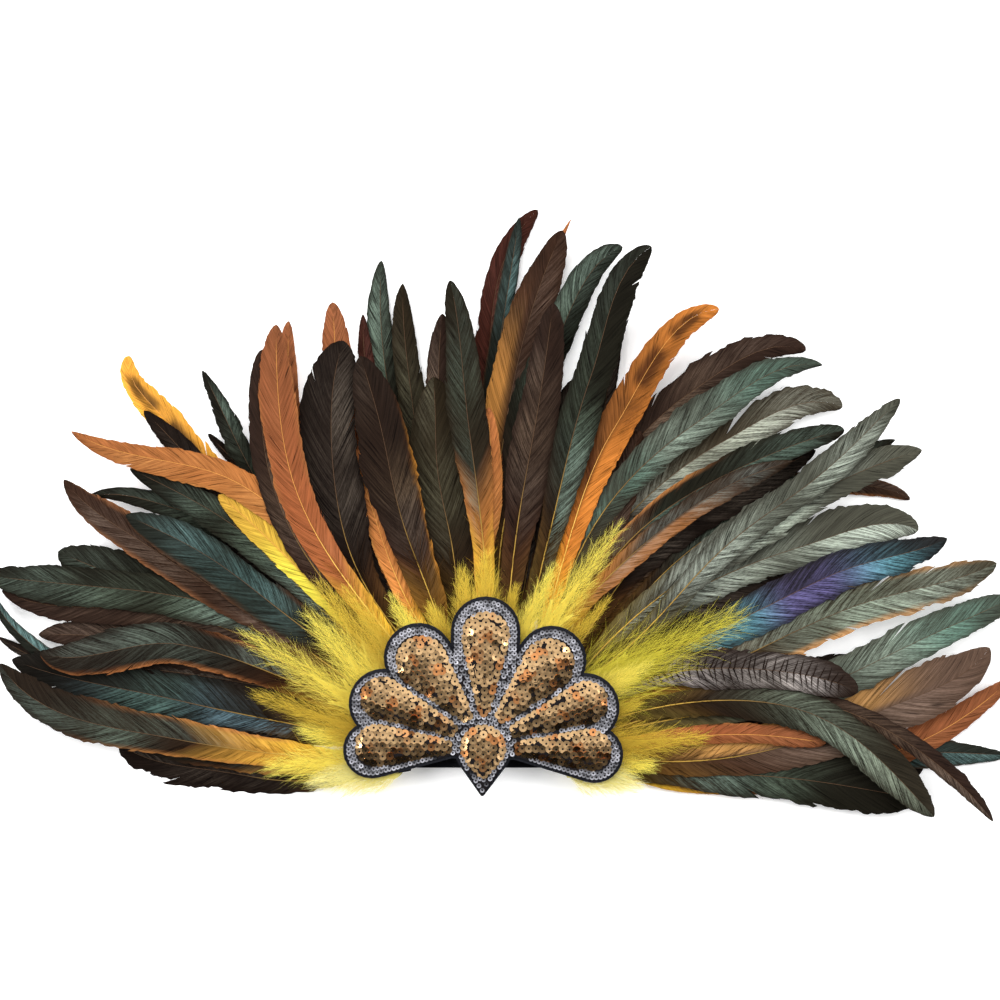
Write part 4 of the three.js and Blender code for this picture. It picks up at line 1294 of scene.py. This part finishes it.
class HEADDRESS_OT_stage(bpy.types.Operator):
    """Pale table, soft lights and a camera straight above"""

    bl_idname = "headdress.stage"
    bl_label = "Stage"

    def execute(self, context):
        s = context.scene.headdress.stage
        bm = bmesh.new()
        bmesh.ops.create_grid(bm, x_segments=1, y_segments=1, size=TABLE_HALF)
        modelled_object("table", bm, self.table_white(s))
        self.add_camera(context.scene, s)
        target = Vector((s.centre_x, s.centre_y - LIGHTS_BELOW_CENTRE, 0))
        for light in LIGHTS:
            self.add_light(light, target)
        self.add_room(context.scene)
        context.scene.view_settings.view_transform = "Standard"
        return {"FINISHED"}

    def table_white(self, s):
        """Matt white that glows a little."""
        material, wiring, shader = new_material("table_white")
        wiring.fill(shader, {
            "Base Color": (*s.floor_colour, 1),
            "Emission Color": (*s.floor_colour, 1),
            "Emission Strength": s.floor_glow,
            "Roughness": 0.9,
            "Specular IOR Level": 0.1})
        return material

    def add_camera(self, scene, s):
        """A camera that sees the set width of table."""
        data = bpy.data.cameras.new("camera")
        data.lens = s.lens
        camera = linked("camera", data)
        camera.location = (s.centre_x, s.centre_y, FOCUS_Z + s.view_width * s.lens / data.sensor_width)
        scene.camera = camera

    def add_light(self, row, target):
        """A square light that faces the target."""
        data = bpy.data.lights.new(row.name, "AREA")
        data.size = row.size
        data.energy = row.power
        light = linked(row.name, data)
        offset = Vector(row.offset)
        light.location = target + offset
        light.rotation_euler = offset.to_track_quat("Z", "Y").to_euler()
        light.visible_glossy = row.mirrored

    def add_room(self, scene):
        """White surroundings in bands of brightness from the lower to the upper side of the view."""
        world = bpy.data.worlds.new("studio")
        world.use_nodes = True
        wiring = Wiring(world.node_tree)
        way = wiring.node("ShaderNodeTexCoord", {}).outputs["Generated"]
        up = wiring.node("ShaderNodeSeparateXYZ", {0: way}).outputs["Y"]
        height = wiring.math("MULTIPLY", wiring.math("ADD", up, 1.0), 0.5)
        bands = wiring.node("ShaderNodeFloatCurve", {"Value": height})
        curve = bands.mapping.curves[0]
        for point, end in zip(curve.points, ROOM_ENDS):
            point.location = end
        for step in ROOM_STEPS:
            curve.points.new(*step)
        bands.mapping.update()
        background = wiring.nodes["Background"]
        wiring.fill(background, {"Color": (1, 1, 1, 1), "Strength": bands.outputs["Value"]})
        scene.world = world


class HEADDRESS_OT_felt(bpy.types.Operator):
    """Felt on the plate and the patch, and dark cloth under the sequins"""

    bl_idname = "headdress.felt"
    bl_label = "Felt and Backing"

    def execute(self, context):
        felt = cloth_material("black_felt", "1a1b20", scale=900.0, bump=0.5)
        backing = cloth_material("backing_cloth", "141113", scale=1400.0, bump=0.3)
        for node in ("back_plate", "patch_base"):
            self.cover(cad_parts[node], felt)
        for node in ("silver_border",) + GOLD_NODES:
            self.cover(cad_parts[node], backing)
        self.bind_quills(felt)
        return {"FINISHED"}

    def cover(self, made, material):
        """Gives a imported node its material."""
        made.data.materials.clear()
        made.data.materials.append(material)

    def bind_quills(self, material):
        """Strips that hold the quills, one over another, and those of the down on top."""
        bm = bmesh.new()
        pitch = LAYERS_PER_ROW * LAYER_PITCH
        floors = [FIRST_LAYER_Z - BINDING_BELOW + r * pitch for r in range(len(ROWS) + 1)]
        heights = [pitch - BINDING_GAP] * len(ROWS) + [DOWN_STRIP_HEIGHT]
        for low, height in zip(floors, heights):
            for start, end in SECTORS.values():
                angles = np.linspace(start, end, BINDING_STEPS)
                rim = [on_binding(a, BINDING_STRIP / 2) for a in angles]
                rim += [on_binding(a, -BINDING_STRIP / 2) for a in angles[::-1]]
                face = bm.faces.new([bm.verts.new((x * MM, y * MM, low * MM)) for x, y in rim])
                wall = bmesh.ops.extrude_face_region(bm, geom=[face])
                top = [v for v in wall["geom"] if isinstance(v, bmesh.types.BMVert)]
                bmesh.ops.translate(bm, verts=top, vec=(0, 0, height * MM))
        bmesh.ops.recalc_face_normals(bm, faces=bm.faces)
        dress(modelled_object("quill_bindings", bm, material), "felt")


class HEADDRESS_OT_feathers(bpy.types.Operator):
    """Rooster tail feathers, one piece for each bound bundle"""

    bl_idname = "headdress.feathers"
    bl_label = "Feathers"

    def execute(self, context):
        s = context.scene.headdress.plumage
        material = plumage_material("rooster_plumage", depth=1.35, crown=1.1, roughness=0.48, gloss=0.5)
        rng = np.random.default_rng(s.seed)
        plumes = [Plume(row, number, rng) for number, row in enumerate(FEATHERS)]
        for r, row in enumerate(ROWS):
            for sector in SECTORS:
                gathering = Gathering()
                for plume in plumes:
                    if plume.row.layer // LAYERS_PER_ROW == r and sector_of(plume.row.seat) == sector:
                        grow_feather(gathering, plume, s, rng)
                made = gathering.make(f"{sector}_{row}_plumes", material)
                dress(made, f"{row}_feather", f"{sector}_{row}_feathers")
        return {"FINISHED"}


class HEADDRESS_OT_down(bpy.types.Operator):
    """Yellow down round the patch"""

    bl_idname = "headdress.down"
    bl_label = "Down"

    def execute(self, context):
        settings = context.scene.headdress
        material = plumage_material("yellow_down", depth=0.5, crown=0.0, roughness=0.8, gloss=0.0)
        rng = np.random.default_rng(settings.down.seed)
        for sector in SECTORS:
            gathering = Gathering()
            for number, row in enumerate(LOCKS):
                if sector_of(row.seat) == sector:
                    grow_lock(gathering, row, number, settings.down, settings.plumage, rng)
            dress(gathering.make(f"{sector}_fluff", material), "down", f"{sector}_down")
        return {"FINISHED"}


class HEADDRESS_OT_gold(bpy.types.Operator):
    """Gold sequins on the padded petals and the drop"""

    bl_idname = "headdress.gold"
    bl_label = "Gold Sequins"

    def execute(self, context):
        s = context.scene.headdress.sequins
        rng = np.random.default_rng(s.seed)
        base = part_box("gold_centre")[0].z / MM
        spots, slopes, lifts = [], [], []
        for twin in mirrored(PETALS) + [GOLD_DROP]:
            at = self.lattice(twin, rng)
            spots.append(at)
            lifts.append(self.dome(at, twin))
            slopes.append(self.lean(at, twin))
        flat = rotated(np.concatenate(spots), PATCH_TURN)
        n = len(flat)
        heights = base + np.concatenate(lifts) + rng.uniform(*GOLD_LIFT, n)
        centres = np.concatenate([flat, heights[:, None]], axis=1)
        normals = leaning(np.concatenate(slopes), s.tilt, rng)
        first, second = (flat @ np.array(wave) for wave in COPPER_WAVES)
        waves = np.sin(first + COPPER_PHASE) * np.sin(second)
        copper = smooth(waves + rng.normal(0, COPPER_SCATTER, n), *COPPER_EDGES)
        tint = mixed(np.ones((n, 3)), np.array(COPPER), copper) * rng.uniform(*GOLD_TINT, n)[:, None]
        polish = rng.uniform(*GOLD_POLISH, n)
        foil = foil_material("gold_foil", tuple(s.gold_colour))
        radius = s.gold_diameter / MM / 2
        made = sequin_discs("gold_sequins", centres, normals, radius, GOLD_SEQUIN, foil, tint, polish)
        dress(made, "gold_sequin")
        return {"FINISHED"}

    def lean(self, points, twin):
        """Slope of the padding, rounder than the pad's own steps."""
        middle, run, length = centre_and_run(twin)
        side = sideways(run)[:2]
        down, out = (points - middle) @ run, (points - middle) @ side
        half = np.interp(down, (0, length), (twin.r, twin.neck_r))
        across = -PETAL_SIDE_SLOPE * np.clip(out / half, -1, 1)
        end = PETAL_RUN_SLOPE + PETAL_END_SLOPE * np.clip(-down / twin.r, 0, 1)
        return across[:, None] * side + end[:, None] * run + np.array(PATCH_SLOPE)

    def lattice(self, twin, rng):
        """A row round the edge of a petal, then staggered rows along it."""
        middle, run, _ = centre_and_run(twin)
        side = sideways(run)[:2]
        edge = outline(twin, -GOLD_EDGE_INSET, GOLD_EDGE_PITCH)
        inner = np.array([
            middle + run * (i + 0.5 * (j % 2)) * GOLD_STEP + side * j * GOLD_ROW_PITCH
            for j in GOLD_ROWS for i in GOLD_STEPS])
        inner = inner + rng.normal(0, GOLD_SCATTER, (len(inner), 2))
        return apart(np.concatenate([edge, inner[depth(inner, twin) < -GOLD_INSET]]), GOLD_SPACING)

    def dome(self, points, twin):
        """Height of the padding."""
        return PAD_HEIGHT * np.interp(-depth(points, twin), PAD_INSETS, PAD_RISES)


class HEADDRESS_OT_silver(bpy.types.Operator):
    """Silver sequins along the rim and between the petals"""

    bl_idname = "headdress.silver"
    bl_label = "Silver Sequins"

    def execute(self, context):
        s = context.scene.headdress.sequins
        rng = np.random.default_rng(s.seed + 1)
        spots = self.spots()
        n = len(spots)
        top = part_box("silver_border")[1].z / MM
        flat = rotated(spots + rng.normal(0, SILVER_SCATTER, spots.shape), PATCH_TURN)
        heights = top + SILVER_HEIGHT + rng.uniform(*SILVER_LIFT, n)
        centres = np.concatenate([flat, heights[:, None]], axis=1)
        normals = leaning(np.zeros((n, 2)), s.tilt * SILVER_TILT, rng)
        tint = np.ones((n, 3)) * rng.uniform(*SILVER_TINT, n)[:, None]
        polish = rng.uniform(*SILVER_POLISH, n)
        foil = foil_material("silver_foil", tuple(s.silver_colour))
        radius = s.silver_diameter / MM / 2
        made = sequin_discs("silver_sequins", centres, normals, radius, SILVER_SEQUIN, foil, tint, polish)
        dress(made, "silver_sequin")
        return {"FINISHED"}

    def spots(self):
        """Places in rows that are inside the rim, clear of the petals and apart from each other."""
        lobes = mirrored(LOBES) + [DROP]
        petals = mirrored(PETALS) + [GOLD_DROP]
        rows = [outline(lobe, -PATCH_RIM - inset, SILVER_PITCH) for inset in RIM_ROWS for lobe in lobes]
        rows += [outline(petal, grow, SILVER_PITCH) for grow in PETAL_ROWS for petal in petals]
        rows.append(np.array([(0, y) for y in np.arange(*DROP_LINE, SILVER_PITCH)]))
        rows.append(outline(DROP, -PATCH_RIM - DROP_ROW, SILVER_PITCH))
        places = np.concatenate(rows)
        inside = least_depth(places, lobes) < -PATCH_RIM - SILVER_INSET
        clear = least_depth(places, petals) > SILVER_CLEARANCE
        return apart(places[inside & clear], SILVER_SPACING)


class HEADDRESS_PT_panel(bpy.types.Panel):
    bl_idname = "HEADDRESS_PT_panel"
    bl_label = "Feather Headdress"
    bl_space_type = "VIEW_3D"
    bl_region_type = "UI"
    bl_category = "Headdress"

    def draw(self, context):
        settings = context.scene.headdress
        for name in ("stage", "plumage", "down", "sequins"):
            box = self.layout.box()
            group = getattr(settings, name)
            for key in group.__annotations__:
                box.prop(group, key)
        for operator in OPERATORS:
            self.layout.operator(operator.bl_idname)


OPERATORS = (
    HEADDRESS_OT_stage,
    HEADDRESS_OT_felt,
    HEADDRESS_OT_feathers,
    HEADDRESS_OT_down,
    HEADDRESS_OT_gold,
    HEADDRESS_OT_silver,
)
CLASSES = (
    PlumageSettings,
    DownSettings,
    SequinSettings,
    StageSettings,
    HeaddressSettings,
    *OPERATORS,
    HEADDRESS_PT_panel,
)


def register():
    for cls in CLASSES:
        bpy.utils.register_class(cls)
    bpy.types.Scene.headdress = PointerProperty(type=HeaddressSettings)


def unregister():
    del bpy.types.Scene.headdress
    for cls in reversed(CLASSES):
        bpy.utils.unregister_class(cls)


def main():
    register()
    bpy.ops.headdress.stage()
    bpy.ops.headdress.felt()
    bpy.ops.headdress.feathers()
    bpy.ops.headdress.down()
    bpy.ops.headdress.gold()
    bpy.ops.headdress.silver()


if __name__ == "__main__":
    main()
